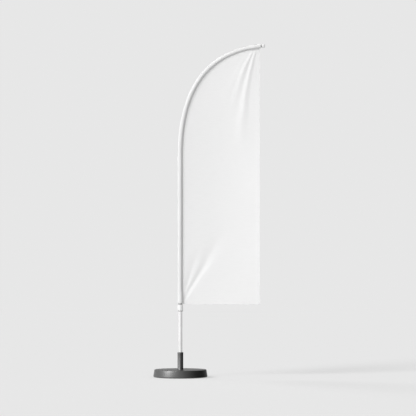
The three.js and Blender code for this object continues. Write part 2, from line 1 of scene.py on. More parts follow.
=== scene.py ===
# A feather flag on a weighted round foot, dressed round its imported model. Metres, +Z up.
import logging
import math
from dataclasses import dataclass
from enum import Enum
from typing import Callable, Iterable, NamedTuple, Sequence

import bpy
import numpy as np
from mathutils import Matrix, Vector


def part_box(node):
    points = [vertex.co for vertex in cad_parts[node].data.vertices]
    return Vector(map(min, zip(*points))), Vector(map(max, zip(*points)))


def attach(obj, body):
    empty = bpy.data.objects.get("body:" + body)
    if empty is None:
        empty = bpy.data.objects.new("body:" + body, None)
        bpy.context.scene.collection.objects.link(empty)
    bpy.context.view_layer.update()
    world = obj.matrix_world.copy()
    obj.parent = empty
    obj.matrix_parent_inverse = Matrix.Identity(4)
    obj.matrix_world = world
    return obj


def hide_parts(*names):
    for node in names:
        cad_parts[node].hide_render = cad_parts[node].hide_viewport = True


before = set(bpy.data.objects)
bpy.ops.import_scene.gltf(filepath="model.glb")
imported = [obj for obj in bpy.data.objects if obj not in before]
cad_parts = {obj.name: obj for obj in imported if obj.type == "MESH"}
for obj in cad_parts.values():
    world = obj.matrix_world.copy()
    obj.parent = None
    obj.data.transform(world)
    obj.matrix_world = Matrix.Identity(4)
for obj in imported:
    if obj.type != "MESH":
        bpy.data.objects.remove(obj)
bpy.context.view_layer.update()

log = logging.getLogger("feather_flag")

MM = 0.001
FASTENERS = {"plate_screw": 6, "flange_bolt": 4}  # under the foot, and how many of each kind
MIX_AMOUNT, MIX_FROM, MIX_TO, MIX_COLOUR = 0, 6, 7, 2  # a colour Mix node's inputs and output
BAND = math.pi / 10  # how far apart a wave texture's bands lie, in its own unit

Profile = Sequence[tuple[float, float]]
Piece = bpy.types.Object
Socket = bpy.types.NodeSocket
Material = bpy.types.Material
Finishes = dict[str, Material]


# ---------------------------------------------------------------- the mast's centre line


@dataclass
class MastLine:
    """The centre line of pole, sleeve and tip: upright, then one cubic curve that bends over.

    Args:
        start: Height at which the curve begins.
        rise: How long the curve holds its upright start.
        reach: How far out along +X the curve ends.
        top: Height of the curve's end.
        slope: Slope of the curve at its end, in radians above level.
        hold: How long the curve holds that slope.
    """

    start: float = 1.653
    rise: float = 0.366
    reach: float = 0.602
    top: float = 2.4825
    slope: float = math.radians(6.5)
    hold: float = 0.508
    samples: int = 2000

    def __post_init__(self) -> None:
        """Samples the curve by distance."""
        end = np.array([self.reach, 0.0, self.top])
        self.tip_direction = np.array([math.cos(self.slope), 0.0, math.sin(self.slope)])
        p0 = np.array([0.0, 0.0, self.start])
        p1 = p0 + [0.0, 0.0, self.rise]
        p2 = end - self.hold * self.tip_direction
        t = np.linspace(0.0, 1.0, self.samples)[:, None]
        self.points = (
            (1 - t) ** 3 * p0 + 3 * (1 - t) ** 2 * t * p1 + 3 * (1 - t) * t**2 * p2 + t**3 * end
        )
        steps = np.linalg.norm(np.diff(self.points, axis=0), axis=1)
        self.distances = np.concatenate([[0.0], np.cumsum(steps)])
        self.slopes = np.gradient(self.points, self.distances, axis=0)
        self.slopes /= np.linalg.norm(self.slopes, axis=1)[:, None]
        self.end = self.start + float(self.distances[-1])

    def at(self, distance: np.ndarray) -> tuple[np.ndarray, np.ndarray]:
        """The line's points and directions.

        Args:
            distance: Distances from the floor along the line.

        Returns:
            Points and unit directions, one row for each distance.
        """
        distance = np.atleast_1d(np.asarray(distance, float))
        past = distance - self.start
        inside = np.clip(past, 0.0, self.distances[-1])
        point = np.stack([np.interp(inside, self.distances, c) for c in self.points.T], axis=1)
        along = np.stack([np.interp(inside, self.distances, c) for c in self.slopes.T], axis=1)
        point += np.minimum(past, 0.0)[:, None] * np.array([0.0, 0.0, 1.0])
        point += np.maximum(past - self.distances[-1], 0.0)[:, None] * self.tip_direction
        return point, along / np.linalg.norm(along, axis=1)[:, None]

    def stations(self, low: float, high: float, spacing: float) -> np.ndarray:
        """Evenly spaced distances from low to high."""
        return np.linspace(low, high, max(2, int(round((high - low) / spacing)) + 1))


# ---------------------------------------------------------------- colours and nodes


def linear(hex_colour: str) -> tuple[float, float, float, float]:
    """An sRGB colour such as "f2f2f0" as linear RGBA.

    Args:
        hex_colour: Red, green and blue, two digits each.

    Returns:
        Linear red, green, blue and alpha.
    """
    channels = [int(hex_colour[i : i + 2], 16) / 255 for i in (0, 2, 4)]
    return (
        *(c / 12.92 if c <= 0.04045 else ((c + 0.055) / 1.055) ** 2.4 for c in channels),
        1.0,
    )


def add_node(
    tree: bpy.types.NodeTree,
    kind: str,
    values: dict[str | int, object] | None = None,
    links: dict[str | int, Socket] | None = None,
    **settings: object,
) -> bpy.types.Node:
    """Adds a node.

    Args:
        tree: The node tree.
        kind: The node's type, such as TexNoise.
        values: Values of its unlinked inputs.
        links: Sockets that feed its inputs.
        **settings: Attributes to set on it.

    Returns:
        The new node.
    """
    node = tree.nodes.new(f"ShaderNode{kind}")
    for name, value in settings.items():
        setattr(node, name, value)
    for socket, value in (values or {}).items():
        node.inputs[socket].default_value = value
    for socket, source in (links or {}).items():
        tree.links.new(source, node.inputs[socket])
    return node


class Relief(NamedTuple):
    """A height pattern from 0 to 1 on a surface, with its depth in metres."""

    height: Socket
    depth: float
    strength: float = 1.0


class Dyed:
    """A material under construction: its tree, its shader and its place coordinates."""

    def __init__(
        self, name: str, constants: dict[str, object], coordinates: str = "Object"
    ) -> None:
        """Starts a material.

        Args:
            name: The material's name.
            constants: Values set on the shader's own sockets.
            coordinates: Which texture coordinates the patterns read.
        """
        self.material = bpy.data.materials.new(name)
        self.material.use_nodes = True
        self.tree = self.material.node_tree
        self.shader = self.tree.nodes["Principled BSDF"]
        for socket, value in constants.items():
            self.shader.inputs[socket].default_value = value
        self.place = self.add("TexCoord", coordinates)

    def add(
        self,
        kind: str,
        out: str | int,
        values: dict[str | int, object] | None = None,
        links: dict[str | int, Socket] | None = None,
        **settings: object,
    ) -> Socket:
        """Adds a node to this material's tree, and gives one of its outputs."""
        return add_node(self.tree, kind, values, links, **settings).outputs[out]

    def clouds(
        self,
        size: float,
        detail: float,
        span: tuple[float, float] | None = None,
        stretch: Sequence[float] | None = None,
    ) -> Socket:
        """Cloudy blotches, as a pattern from 0 to 1.

        Args:
            size: Width of a blotch in metres.
            detail: How many finer layers it has.
            span: The levels that become 0 and 1. None leaves the pattern as it is.
            stretch: How much longer a blotch is along each axis.

        Returns:
            The pattern's socket.
        """
        place = self.place
        if stretch is not None:
            scale = [1 / length for length in stretch]
            place = self.add("Mapping", "Vector", {"Scale": scale}, {"Vector": place})
        values = {"Scale": 1 / size, "Detail": detail, "Roughness": 0.55}
        pattern = self.add("TexNoise", "Fac", values, {"Vector": place})
        if span is None:
            return pattern
        low, high = span
        values = {"From Min": low, "From Max": high}
        return self.add("MapRange", "Result", values, {"Value": pattern})

    def finished(
        self,
        ground: str,
        tints: Sequence[tuple[Socket, str]],
        wear: Socket,
        roughness: tuple[float, float],
        reliefs: Sequence[Relief],
    ) -> Material:
        """Lays colour, roughness and relief on the shader.

        Args:
            ground: The hex colour under all tints.
            tints: Patterns from 0 to 1, each with the hex colour that it brings in.
            wear: The pattern, from 0 to 1, that the roughness follows.
            roughness: The roughness at that pattern's two ends.
            reliefs: Height patterns, each laid over those before it.

        Returns:
            The material.
        """
        colour = normal = None
        for amount, tint in tints:
            values = {MIX_FROM: linear(ground), MIX_TO: linear(tint)}
            links = {MIX_AMOUNT: amount, **({MIX_FROM: colour} if colour else {})}
            colour = self.add("Mix", MIX_COLOUR, values, links, data_type="RGBA")
        for relief in reliefs:
            values = {"Strength": relief.strength, "Distance": relief.depth}
            links = {"Height": relief.height, **({"Normal": normal} if normal else {})}
            normal = self.add("Bump", "Normal", values, links)
        low, high = roughness
        rough = self.add("MapRange", "Result", {"To Min": low, "To Max": high}, {"Value": wear})
        for socket, source in (("Base Color", colour), ("Roughness", rough), ("Normal", normal)):
            self.tree.links.new(source, self.shader.inputs[socket])
        return self.material


# ---------------------------------------------------------------- finishes


@dataclass(frozen=True)
class MouldedPlastic:
    """Injection-moulded plastic from a spark-eroded tool: an even, fine pebble and a soft sheen."""

    name: str
    colour: str
    shade: str
    roughness: float
    grain: float = 1.6 * MM  # real grain is about 0.3 mm, drawn coarser so that it shows
    depth: float = 0.05 * MM
    metallic: float = 0.0

    def make(self) -> Material:
        """The material.

        Returns:
            The material, with its nodes.
        """
        dyed = Dyed(self.name, {"IOR": 1.5, "Metallic": self.metallic})
        flow = dyed.clouds(90 * MM, 3, (0.3, 0.7))  # slow drift of tone that the melt's flow leaves
        scuffs = dyed.clouds(14 * MM, 5, (0.6, 0.78))
        values = {"Scale": 1 / self.grain}
        pebble = dyed.add("TexVoronoi", "Distance", values, {"Vector": dyed.place})
        rough = (self.roughness, self.roughness + 0.1)
        reliefs = [Relief(pebble, self.depth)]
        return dyed.finished(self.shade, [(flow, self.colour)], scuffs, rough, reliefs)


@dataclass(frozen=True)
class PowderCoat:
    """Polyester powder coat baked on metal: a slight orange peel and a satin gloss."""

    name: str
    colour: str
    shade: str
    roughness: float
    peel: float = 5.0 * MM  # real peel is 1 to 2 mm, drawn coarser so that it shows
    depth: float = 0.12 * MM
    metallic: float = 0.0

    def make(self) -> Material:
        """The material.

        Returns:
            The material, with its nodes.
        """
        coat = {"Coat Weight": 0.15, "Coat Roughness": 0.25}
        dyed = Dyed(self.name, {"IOR": 1.5, "Metallic": self.metallic, **coat})
        tone = dyed.clouds(60 * MM, 4, (0.3, 0.7))
        # fine rubbed lines where the pieces slide on each other run along the tube
        rubs = dyed.clouds(3 * MM, 3, (0.62, 0.75), (1, 1, 40))
        rough = (self.roughness, self.roughness + 0.08)
        reliefs = [Relief(dyed.clouds(self.peel, 1), self.depth)]
        return dyed.finished(self.shade, [(tone, self.colour)], rubs, rough, reliefs)


class Weave(Enum):
    """How a cloth's threads run over the piece."""

    FLAT = "Object"
    ROUND_TUBE = "UV"


@dataclass(frozen=True)
class WovenPolyester:
    """Woven polyester flag cloth: a fine plain weave, matt, with a faint sheen at low angles."""

    name: str
    colour: str
    shade: str
    weave: Weave
    thread: float = 1.5 * MM  # real threads lie 0.25 mm apart, drawn coarser so that they show
    depth: float = 0.06 * MM
    roughness: float = 0.8
    seam_shade_colour: str = "d1d1d1"  # painted shade beside a tube's seam
    turn: float = 126 * MM  # once round the tube
    seam_shade_ends: tuple[float, float] = (0.17, 0.22)  # as shares of that turn, from the seam

    def make(self) -> Material:
        """The material.

        Returns:
            The material, with its nodes.
        """
        dyed = Dyed(
            self.name,
            {"IOR": 1.45, "Sheen Weight": 0.25, "Sheen Roughness": 0.4, "Specular IOR Level": 0.3},
            self.weave.value,
        )
        values, links = {"Scale": BAND / self.thread}, {"Vector": dyed.place}
        warp, weft = (
            dyed.add("TexWave", "Fac", values, links, bands_direction=direction)
            for direction in ("X", "Z" if self.weave is Weave.FLAT else "Y")
        )
        crossing = dyed.add("Math", 0, links={0: warp, 1: weft}, operation="MULTIPLY")
        slubs = dyed.clouds(9 * MM, 4, (0.35, 0.7), (6, 6, 1))
        slubbed = dyed.add("Math", 0, links={0: crossing, 1: slubs}, operation="MULTIPLY")
        values = {"From Max": 0.5, "To Min": 0.3, "To Max": 0.8}
        cloth = dyed.add("MapRange", "Result", values, {"Value": slubbed})
        # creases that folding for the bag leaves, too shallow to model
        creases = dyed.clouds(120 * MM, 2)
        reliefs = [Relief(crossing, self.depth), Relief(creases, 1.2 * MM, 0.25)]
        tints = [(cloth, self.colour)]
        # painted shade beside the tube's seam, drawn as a greyer tint of the cloth
        if self.weave is Weave.ROUND_TUBE:
            tints.append((self.beside_seam(dyed), self.seam_shade_colour))
        rough = (self.roughness, self.roughness + 0.08)
        return dyed.finished(self.shade, tints, slubs, rough, reliefs)

    def beside_seam(self, dyed: Dyed) -> Socket:
        """Painted shade either side of a tube's seam: the cloth there is drawn greyer, for the side
        of the round tube that turns from the light.

        Args:
            dyed: The material under construction, on the tube's own coordinates.

        Returns:
            A pattern that is 1 there and 0 elsewhere.
        """
        across = dyed.add("SeparateXYZ", "X", links={0: dyed.place})
        from_seam = dyed.add("Math", 0, {1: self.turn / 2}, {0: across}, operation="PINGPONG")
        start, end = (share * self.turn for share in self.seam_shade_ends)
        values = {"From Min": start, "From Max": end, "To Min": 1.0, "To Max": 0.0}
        return dyed.add("MapRange", "Result", values, {"Value": from_seam})


@dataclass(frozen=True)
class TwistedThread:
    """Spun polyester sewing thread: matt, with its twist as a fine slanting line."""

    name: str = "spun_polyester_thread"
    colour: str = "eeeeec"
    shade: str = "d6d6d3"
    twist: float = 1.0 * MM

    def make(self) -> Material:
        """The material.

        Returns:
            The material, with its nodes.
        """
        dyed = Dyed(self.name, {"IOR": 1.45, "Sheen Weight": 0.4})
        values, links = {"Scale": BAND / self.twist}, {"Vector": dyed.place}
        ply = dyed.add("TexWave", "Fac", values, links, bands_direction="DIAGONAL")
        reliefs = [Relief(ply, 0.1 * MM)]
        return dyed.finished(self.shade, [(ply, self.colour)], ply, (0.7, 0.85), reliefs)


@dataclass(frozen=True)
class PlatedSteel:
    """Plate on turned or pressed metal: a thin bright skin with a faint cloudy spangle."""

    name: str
    colour: str
    shade: str
    roughness: float
    brush: tuple[float, float, float] = (1, 1, 1)  # how much longer its marks are on each axis

    def make(self) -> Material:
        """The material.

        Returns:
            The material, with its nodes.
        """
        dyed = Dyed(self.name, {"Metallic": 1.0})
        spangle = dyed.clouds(7 * MM, 4, (0.3, 0.7))
        lines = dyed.clouds(1.2 * MM, 2, stretch=self.brush)
        rough = (self.roughness - 0.06, self.roughness + 0.08)
        reliefs = [Relief(lines, 0.03 * MM)]
        return dyed.finished(self.shade, [(spangle, self.colour)], lines, rough, reliefs)


@dataclass(frozen=True)
class CastConcrete:
    """Concrete poured into the shell: matt, with sand, pores and pale bloom."""

    name: str = "cast_concrete"
    colour: str = "a8a59e"
    shade: str = "7d7a74"
    pore: float = 6 * MM

    def make(self) -> Material:
        """The material.

        Returns:
            The material, with its nodes.
        """
        dyed = Dyed(self.name, {"IOR": 1.5})
        sand = dyed.clouds(2.5 * MM, 5)
        bloom = dyed.clouds(45 * MM, 4, (0.3, 0.7))
        values = {"Scale": 1 / self.pore}
        pores = dyed.add("TexVoronoi", "Distance", values, {"Vector": dyed.place})
        values = {"From Min": 0.05, "From Max": 0.2}
        pits = dyed.add("MapRange", "Result", values, {"Value": pores})
        reliefs = [Relief(pits, 0.6 * MM), Relief(sand, 0.3 * MM)]
        return dyed.finished(self.shade, [(bloom, self.colour)], sand, (0.85, 1.0), reliefs)


@dataclass(frozen=True)
class MouldedRubber:
    """Compression-moulded rubber: near black, dull, with a bloom of dust on its high spots."""

    name: str = "moulded_rubber"
    colour: str = "242425"
    shade: str = "18181a"

    def make(self) -> Material:
        """The material.

        Returns:
            The material, with its nodes.
        """
        dyed = Dyed(self.name, {"IOR": 1.52, "Specular IOR Level": 0.35})
        dust = dyed.clouds(18 * MM, 5, (0.4, 0.75))
        reliefs = [Relief(dyed.clouds(1.5 * MM, 2), 0.08 * MM)]
        return dyed.finished(self.shade, [(dust, self.colour)], dust, (0.75, 0.92), reliefs)


@dataclass(frozen=True)
class PultrudedFibreglass:
    """Glass rovings pulled through a die in resin: pale, slightly clear, streaked lengthways."""

    name: str = "pultruded_fibreglass"
    colour: str = "e2e3dc"
    shade: str = "c3c5ba"

    def make(self) -> Material:
        """The material.

        Returns:
            The material, with its nodes.
        """
        dyed = Dyed(self.name, {"IOR": 1.54, "Coat Weight": 0.3, "Coat Roughness": 0.2})
        strands = dyed.clouds(1.2 * MM, 3, (0.3, 0.7), (1, 1, 60))
        reliefs = [Relief(strands, 0.04 * MM)]
        return dyed.finished(self.shade, [(strands, self.colour)], strands, (0.32, 0.45), reliefs)


def finishes() -> Finishes:
    """Every material, by the short name that the pieces ask for it by.

    Returns:
        The materials.
    """
    made = {
        # pigmented shell with a metallic flake in it, which gives the soft bright band
        "shell": MouldedPlastic("moulded_satin_abs_shell", "606060", "585858", 0.36,
                                metallic=0.9),
        "stem": PowderCoat("dark_powder_coated_steel", "606060", "585858", 0.36, metallic=0.9),
        "pole": PowderCoat("white_powder_coated_aluminium", "e8e8e8", "e1e1e1", 0.38),
        "white": MouldedPlastic("moulded_white_acetal", "eaeaea", "e3e3e3", 0.36),
        # the same plastic in a darker grey: painted shade for the collar's groove and undercut and
        # the tip cap's neck
        "painted_shade": MouldedPlastic("acetal_in_painted_shade", "a0a0a0", "929292", 0.7),
        "nylon": MouldedPlastic("moulded_black_nylon", "2c2c2d", "202021", 0.5),
        "panel": WovenPolyester("woven_polyester_flag", "f1f1f1", "e9e9e9", Weave.FLAT),
        "sleeve": WovenPolyester("woven_polyester_sleeve", "e8e8e8", "e1e1e1", Weave.ROUND_TUBE),
        "thread": TwistedThread(),
        "zinc": PlatedSteel("zinc_plated_steel", "b9bdc2", "9fa3a9", 0.36),
        "bearing": PlatedSteel("ground_bearing_steel", "c9ccd0", "babdc2", 0.2,
                               (1, 1, 0.2)),
        "brass": PlatedSteel("turned_brass", "c9a75c", "b18f48", 0.3, (1, 0.2, 1)),
        "concrete": CastConcrete(),
        "rubber": MouldedRubber(),
        "fibreglass": PultrudedFibreglass(),
    }
    return {name: finish.make() for name, finish in made.items()}


# ---------------------------------------------------------------- modelling by hand


def deselect() -> None:
    """Leaves nothing selected, so that an operator acts only on what comes next."""
    if bpy.context.object and bpy.context.object.mode != "OBJECT":
        bpy.ops.object.mode_set(mode="OBJECT")
    bpy.ops.object.select_all(action="DESELECT")


def only(obj: Piece) -> Piece:
    """Makes one object the active and only selected one.

    Args:
        obj: The piece.

    Returns:
        The piece.
    """
    deselect()
    obj.select_set(True)
    bpy.context.view_layer.objects.active = obj
    return obj


def settle(obj: Piece, place: Matrix | None = None) -> Piece:
    """Moves an object by a matrix and applies it, so that the object ends at the origin.

    Args:
        obj: The piece.
        place: Where it goes, on top of where it is. None leaves it there.

    Returns:
        The piece.
    """
    only(obj)
    if place is not None:
        obj.matrix_world = place @ obj.matrix_world
    bpy.ops.object.transform_apply(location=True, rotation=True, scale=True)
    return obj


def make_outward(obj: Piece) -> None:
    """Merges doubles and turns every face of a closed mesh outwards.

    Args:
        obj: The piece.
    """
    only(obj)
    bpy.ops.object.mode_set(mode="EDIT")
    bpy.ops.mesh.select_all(action="SELECT")
    bpy.ops.mesh.remove_doubles(threshold=1e-6)
    bpy.ops.mesh.normals_make_consistent(inside=False)
    bpy.ops.object.mode_set(mode="OBJECT")


def turned(name: str, profile: Profile, sides: int = 96) -> Piece:
    """Turns a profile about +Z, by drawing a ring out from height to height.

    Args:
        name: The piece's name.
        profile: Points of (radius, height). Where the first and last radius are 0 the piece is
            solid, and otherwise the profile closes on itself and the piece is a hollow ring.
        sides: How many faces go round.

    Returns:
        The closed piece.
    """
    solid = profile[0][0] == 0
    rings = list(profile[1:-1]) if solid else [*profile, profile[0]]
    deselect()
    bpy.ops.mesh.primitive_circle_add(
        vertices=sides, radius=rings[0][0], location=(0, 0, rings[0][1])
    )
    obj = bpy.context.object
    obj.name = name
    bpy.ops.object.mode_set(mode="EDIT")
    bpy.ops.mesh.select_all(action="SELECT")
    if solid:
        bpy.ops.mesh.edge_face_add()
    for (radius, height), (next_radius, next_height) in zip(rings, rings[1:]):
        bpy.ops.mesh.extrude_region_move(
            TRANSFORM_OT_translate={"value": (0, 0, next_height - height)}
        )
        grow = next_radius / radius
        bpy.ops.transform.resize(
            value=(grow, grow, 1), center_override=(0, 0, next_height), orient_type="GLOBAL"
        )
    bpy.ops.object.mode_set(mode="OBJECT")
    settle(obj)
    make_outward(obj)
    return obj


def arc(
    centre: tuple[float, float], size: float, start: float, end: float, steps: int
) -> list[tuple[float, float]]:
    """Points of an arc in a profile.

    Args:
        centre: The arc's (radius, height).
        size: The arc's own radius.
        start: Start angle in degrees from straight outwards.
        end: End angle in degrees.
        steps: How many pieces the arc is cut into.

    Returns:
        Points of (radius, height).
    """
    angles = np.radians(np.linspace(start, end, steps + 1))
    return [(centre[0] + size * math.cos(a), centre[1] + size * math.sin(a)) for a in angles]


def bar(name: str, radius: float, start: Vector, end: Vector, sides: int = 32) -> Piece:
    """A round bar from one point to another.

    Args:
        name: Its name.
        radius: Its radius.
        start: The middle of one end.
        end: The middle of the other.
        sides: How many faces go round.

    Returns:
        The bar.
    """
    deselect()
    line = end - start
    bpy.ops.mesh.primitive_cylinder_add(vertices=sides, radius=radius, depth=line.length)
    obj = bpy.context.object
    obj.name = name
    turn = Vector((0, 0, 1)).rotation_difference(line.normalized()).to_matrix().to_4x4()
    return settle(obj, Matrix.Translation((start + end) / 2) @ turn)


def combine(obj: Piece, tools: Iterable[Piece], how: str) -> Piece:
    """Joins to or cuts from a piece.

    Args:
        obj: The piece.
        tools: The pieces that are used up on it.
        how: UNION or DIFFERENCE.

    Returns:
        The piece.
    """
    for tool in tools:
        only(obj)
        bpy.ops.object.modifier_add(type="BOOLEAN")
        modifier = obj.modifiers[-1]
        modifier.operation = how
        modifier.solver = "EXACT"
        modifier.object = tool
        bpy.ops.object.modifier_apply(modifier=modifier.name)
        bpy.data.objects.remove(tool)
    return obj


def soften(obj: Piece, width: float, segments: int = 3, limit: float = 30) -> Piece:
    """Rounds the piece's sharp edges and smooths its shading.

    Args:
        obj: The piece.
        width: The rounding's width.
        segments: How many faces cross the rounding.
        limit: Edges sharper than this angle in degrees are rounded.

    Returns:
        The piece.
    """
    only(obj)
    bpy.ops.object.modifier_add(type="BEVEL")
    modifier = obj.modifiers[-1]
    modifier.width = width
    modifier.segments = segments
    modifier.limit_method = "ANGLE"
    modifier.angle_limit = math.radians(limit)
    modifier.use_clamp_overlap = True
    bpy.ops.object.modifier_apply(modifier=modifier.name)
    return smooth(obj)


def smooth(obj: Piece, angle: float = 35) -> Piece:
    """Smooths the shading across edges blunter than an angle in degrees.

    Args:
        obj: The piece.
        angle: Edges sharper than this stay sharp.

    Returns:
        The piece.
    """
    only(obj)
    bpy.ops.object.shade_smooth_by_angle(angle=math.radians(angle))
    return obj


def copies(obj: Piece, places: Sequence[Vector], name: str) -> list[Piece]:
    """Copies a piece that is modelled at the origin to each place, and removes the first.

    Args:
        obj: The piece.
        places: Where the copies go.
        name: Their name, to which a number is added.

    Returns:
        The copies.
    """
    made = []
    for number, place in enumerate(places, 1):
        copy = obj.copy()
        copy.data = obj.data.copy()
        copy.name = f"{name}_{number}"
        bpy.context.scene.collection.objects.link(copy)
        made.append(settle(copy, Matrix.Translation(place)))
    bpy.data.objects.remove(obj)
    return made


def dress(
    obj: Piece,
    material: Material,
    body: str,
    nodes: Sequence[str] = (),
) -> Piece:
    """Gives a piece its material, its body and the CAD nodes it stands for.

    Args:
        obj: The piece.
        material: Its finish.
        body: The body that it rides on.
        nodes: The CAD nodes that it replaces.

    Returns:
        The piece.
    """
    obj.data.materials.clear()
    obj.data.materials.append(material)
    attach(obj, body)
    if nodes:
        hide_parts(*nodes)
    log.info("%s: %d faces, rides on %s", obj.name, len(obj.data.polygons), body)
    return obj


def second_finish(obj: Piece, material: Material, chosen: Sequence[bool]) -> None:
    """Gives some of a dressed piece's faces another material.

    Args:
        obj: The piece.
        material: What its chosen faces get.
        chosen: Whether each face is chosen, in the mesh's order.
    """
    obj.data.materials.append(material)
    for face, is_chosen in zip(obj.data.polygons, chosen):
        face.material_index = int(is_chosen)


def centre_of(node: str) -> Vector:
    """The middle of a CAD node's box."""
    low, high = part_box(node)
    return (low + high) / 2


def fastener_centres(kind: str) -> list[Vector]:
    """The middle of each fastener of a kind."""
    return [centre_of(f"{kind}_{number}") for number in range(1, FASTENERS[kind] + 1)]


def drill(obj: Piece, radii: dict[str, float], low: float, high: float) -> None:
    """Cuts a hole through a plate for each fastener.

    Args:
        obj: The plate.
        radii: The radius of the holes for each kind of fastener.
        low: Height of the plate's underside.
        high: Height of its top.
    """
    for kind, radius in radii.items():
        for p in fastener_centres(kind):
            ends = Vector((p.x, p.y, low - MM)), Vector((p.x, p.y, high + MM))
            combine(obj, [bar("hole", radius, *ends)], "DIFFERENCE")


def keep_node(name: str, material: Material) -> None:
    """Gives a CAD node that keeps its shape its material.

    Args:
        name: The node.
        material: Its finish.
    """
    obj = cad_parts[name]
    obj.data.materials.clear()
    obj.data.materials.append(material)
    log.info("%s keeps its shape, in %s", name, material.name)


# ---------------------------------------------------------------- the foot


@dataclass
class Foot:
    """The weighted foot: shell, mat, plate and screws, with the concrete between them."""

    finish: Finishes
    roll: float = 7 * MM
    top_round: float = 4 * MM
    wall: float = 4 * MM
    taper: float = 8 * MM
    lip: float = 0.8 * MM
    boss_radius: float = 8 * MM
    boss_bore: float = 2.4 * MM
    plate_bend: float = 1.2 * MM
    mat_edge: float = 1 * MM
    tread_start: float = 66 * MM
    tread_pitch: float = 12 * MM
    tread_depth: float = 0.7 * MM

    def build(self) -> None:
        """Builds and dresses every piece of the foot."""
        self.shell()
        self.plate()
        self.mat()
        self.screws("plate_screw", self.cross_head)
        self.screws("flange_bolt", self.socket_head)
        keep_node("ballast_core", self.finish["concrete"])

    def screw_places(self, kind: str) -> list[Vector]:
        """Where each screw of a kind stands, at the underside of its head."""
        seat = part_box("bottom_plate")[0].z
        return [Vector((middle.x, middle.y, seat)) for middle in fastener_centres(kind)]

    def shell(self) -> None:
        """The moulded shell: rolled lower edge, sloping side, rounded top edge, six bosses."""
        low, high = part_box("base_shell")
        radius, bottom, top = high.x, low.z, high.z
        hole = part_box("stem_cap")[1].x  # clears the stem by as much as its cap stands out
        roll_height = bottom + self.roll
        round_start = top - self.top_round
        ceiling = top - self.wall

        def side(height: float) -> float:
            """Outer radius of the sloping side at a height."""
            return radius - self.taper * (height - roll_height) / (top - roll_height)

        profile = [
            *arc((radius - self.roll, roll_height), self.roll, -90, 0, 10),
            *arc((side(round_start) - self.top_round, round_start), self.top_round, 0, 90, 8),
            (hole + self.lip, top), (hole, top - self.lip), (hole, ceiling),
            (side(ceiling) - self.wall, ceiling), (radius - self.wall, roll_height),
            (radius - self.roll, bottom + self.wall / 2),
        ]
        obj = turned("foot_shell", profile, 192)
        low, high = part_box("bottom_plate")[1].z, ceiling + 1 * MM
        tube = [
            (self.boss_bore, low), (self.boss_radius, low),
            (self.boss_radius, high), (self.boss_bore, high),
        ]
        bosses = [
            settle(turned("boss", tube, 24), Matrix.Translation((place.x, place.y, 0)))
            for place in self.screw_places("plate_screw")
        ]
        smooth(combine(obj, bosses, "UNION"))
        dress(obj, self.finish["shell"], "base", ["base_shell"])

    def plate(self) -> None:
        """The pressed steel plate that closes the foot."""
        low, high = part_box("bottom_plate")
        bend = self.plate_bend
        profile = [
            (0, low.z), (high.x - bend, low.z), (high.x, low.z + bend), (high.x, high.z),
            (0, high.z),
        ]
        obj = turned("closing_plate", profile, 128)
        drill(obj, {"plate_screw": 2.7 * MM, "flange_bolt": 4.3 * MM}, low.z, high.z)
        smooth(obj)
        dress(obj, self.finish["zinc"], "base", ["bottom_plate"])

    def mat(self) -> None:
        """The rubber mat, with ring grooves in its underside and holes that clear the heads."""
        low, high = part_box("floor_mat")
        depth, edge = self.tread_depth, self.mat_edge
        groove = [(0, 0.0), (1 * MM, depth), (3 * MM, depth), (4 * MM, 0.0)]
        grooves = [
            (radius + out, low.z + up)
            for radius in np.arange(self.tread_start, high.x - 8 * MM, self.tread_pitch)
            for out, up in groove
        ]
        profile = [
            (0, low.z), (60 * MM, low.z), *grooves, (high.x - edge, low.z),
            (high.x, low.z + edge), (high.x, high.z), (0, high.z),
        ]
        obj = turned("grip_mat", profile, 128)
        drill(obj, {"plate_screw": 7.5 * MM, "flange_bolt": 8.5 * MM}, low.z, high.z)
        smooth(obj)
        dress(obj, self.finish["rubber"], "base", ["floor_mat"])

    def cross_head(self) -> Piece:
        """A pan-head screw with a cross recess, head down, seat at the origin.

        Returns:
            The screw.
        """
        head, shank, length = 2.4 * MM, 2.1 * MM, 25 * MM
        profile = [
            (0, -head), (3.4 * MM, -head), (5.2 * MM, -1.8 * MM), (6.0 * MM, -0.7 * MM),
            (6.0 * MM, 0), (shank, 0), (shank, length), (0, length + 2 * MM),
        ]
        obj = turned("screw", profile, 32)
        slots = []
        for angle in (0, 90):
            deselect()
            bpy.ops.mesh.primitive_cube_add(size=1)
            slot = bpy.context.object
            slot.scale = (4.4 * MM, 0.9 * MM, head)
            slot.rotation_euler = (0, 0, math.radians(angle))
            slots.append(settle(slot, Matrix.Translation((0, 0, -head))))
        return smooth(combine(obj, slots, "DIFFERENCE"))

    def socket_head(self) -> Piece:
        """A low button-head bolt with a hexagon socket, head down, seat at the origin.

        Returns:
            The bolt.
        """
        head, shank, length = 2.4 * MM, 3.7 * MM, 9 * MM
        profile = [
            (0, -head), (4.6 * MM, -head), (6.2 * MM, -1.6 * MM), (7.0 * MM, -0.4 * MM),
            (7.0 * MM, 0), (shank, 0), (shank, length - 1 * MM), (3.0 * MM, length), (0, length),
        ]
        obj = turned("bolt", profile, 32)
        key = bar("key", 2.9 * MM, Vector((0, 0, -4 * MM)), Vector((0, 0, -0.8 * MM)), 6)
        return smooth(combine(obj, [key], "DIFFERENCE"))

    def screws(self, kind: str, model: Callable[[], Piece]) -> None:
        """Copies one modelled screw to each of its places.

        Args:
            kind: Which fasteners.
            model: What models one of them at the origin.
        """
        made = copies(model(), self.screw_places(kind), f"steel_{kind}")
        for number, obj in enumerate(made, 1):
            dress(obj, self.finish["zinc"], "base", [f"{kind}_{number}"])


# ---------------------------------------------------------------- the stem


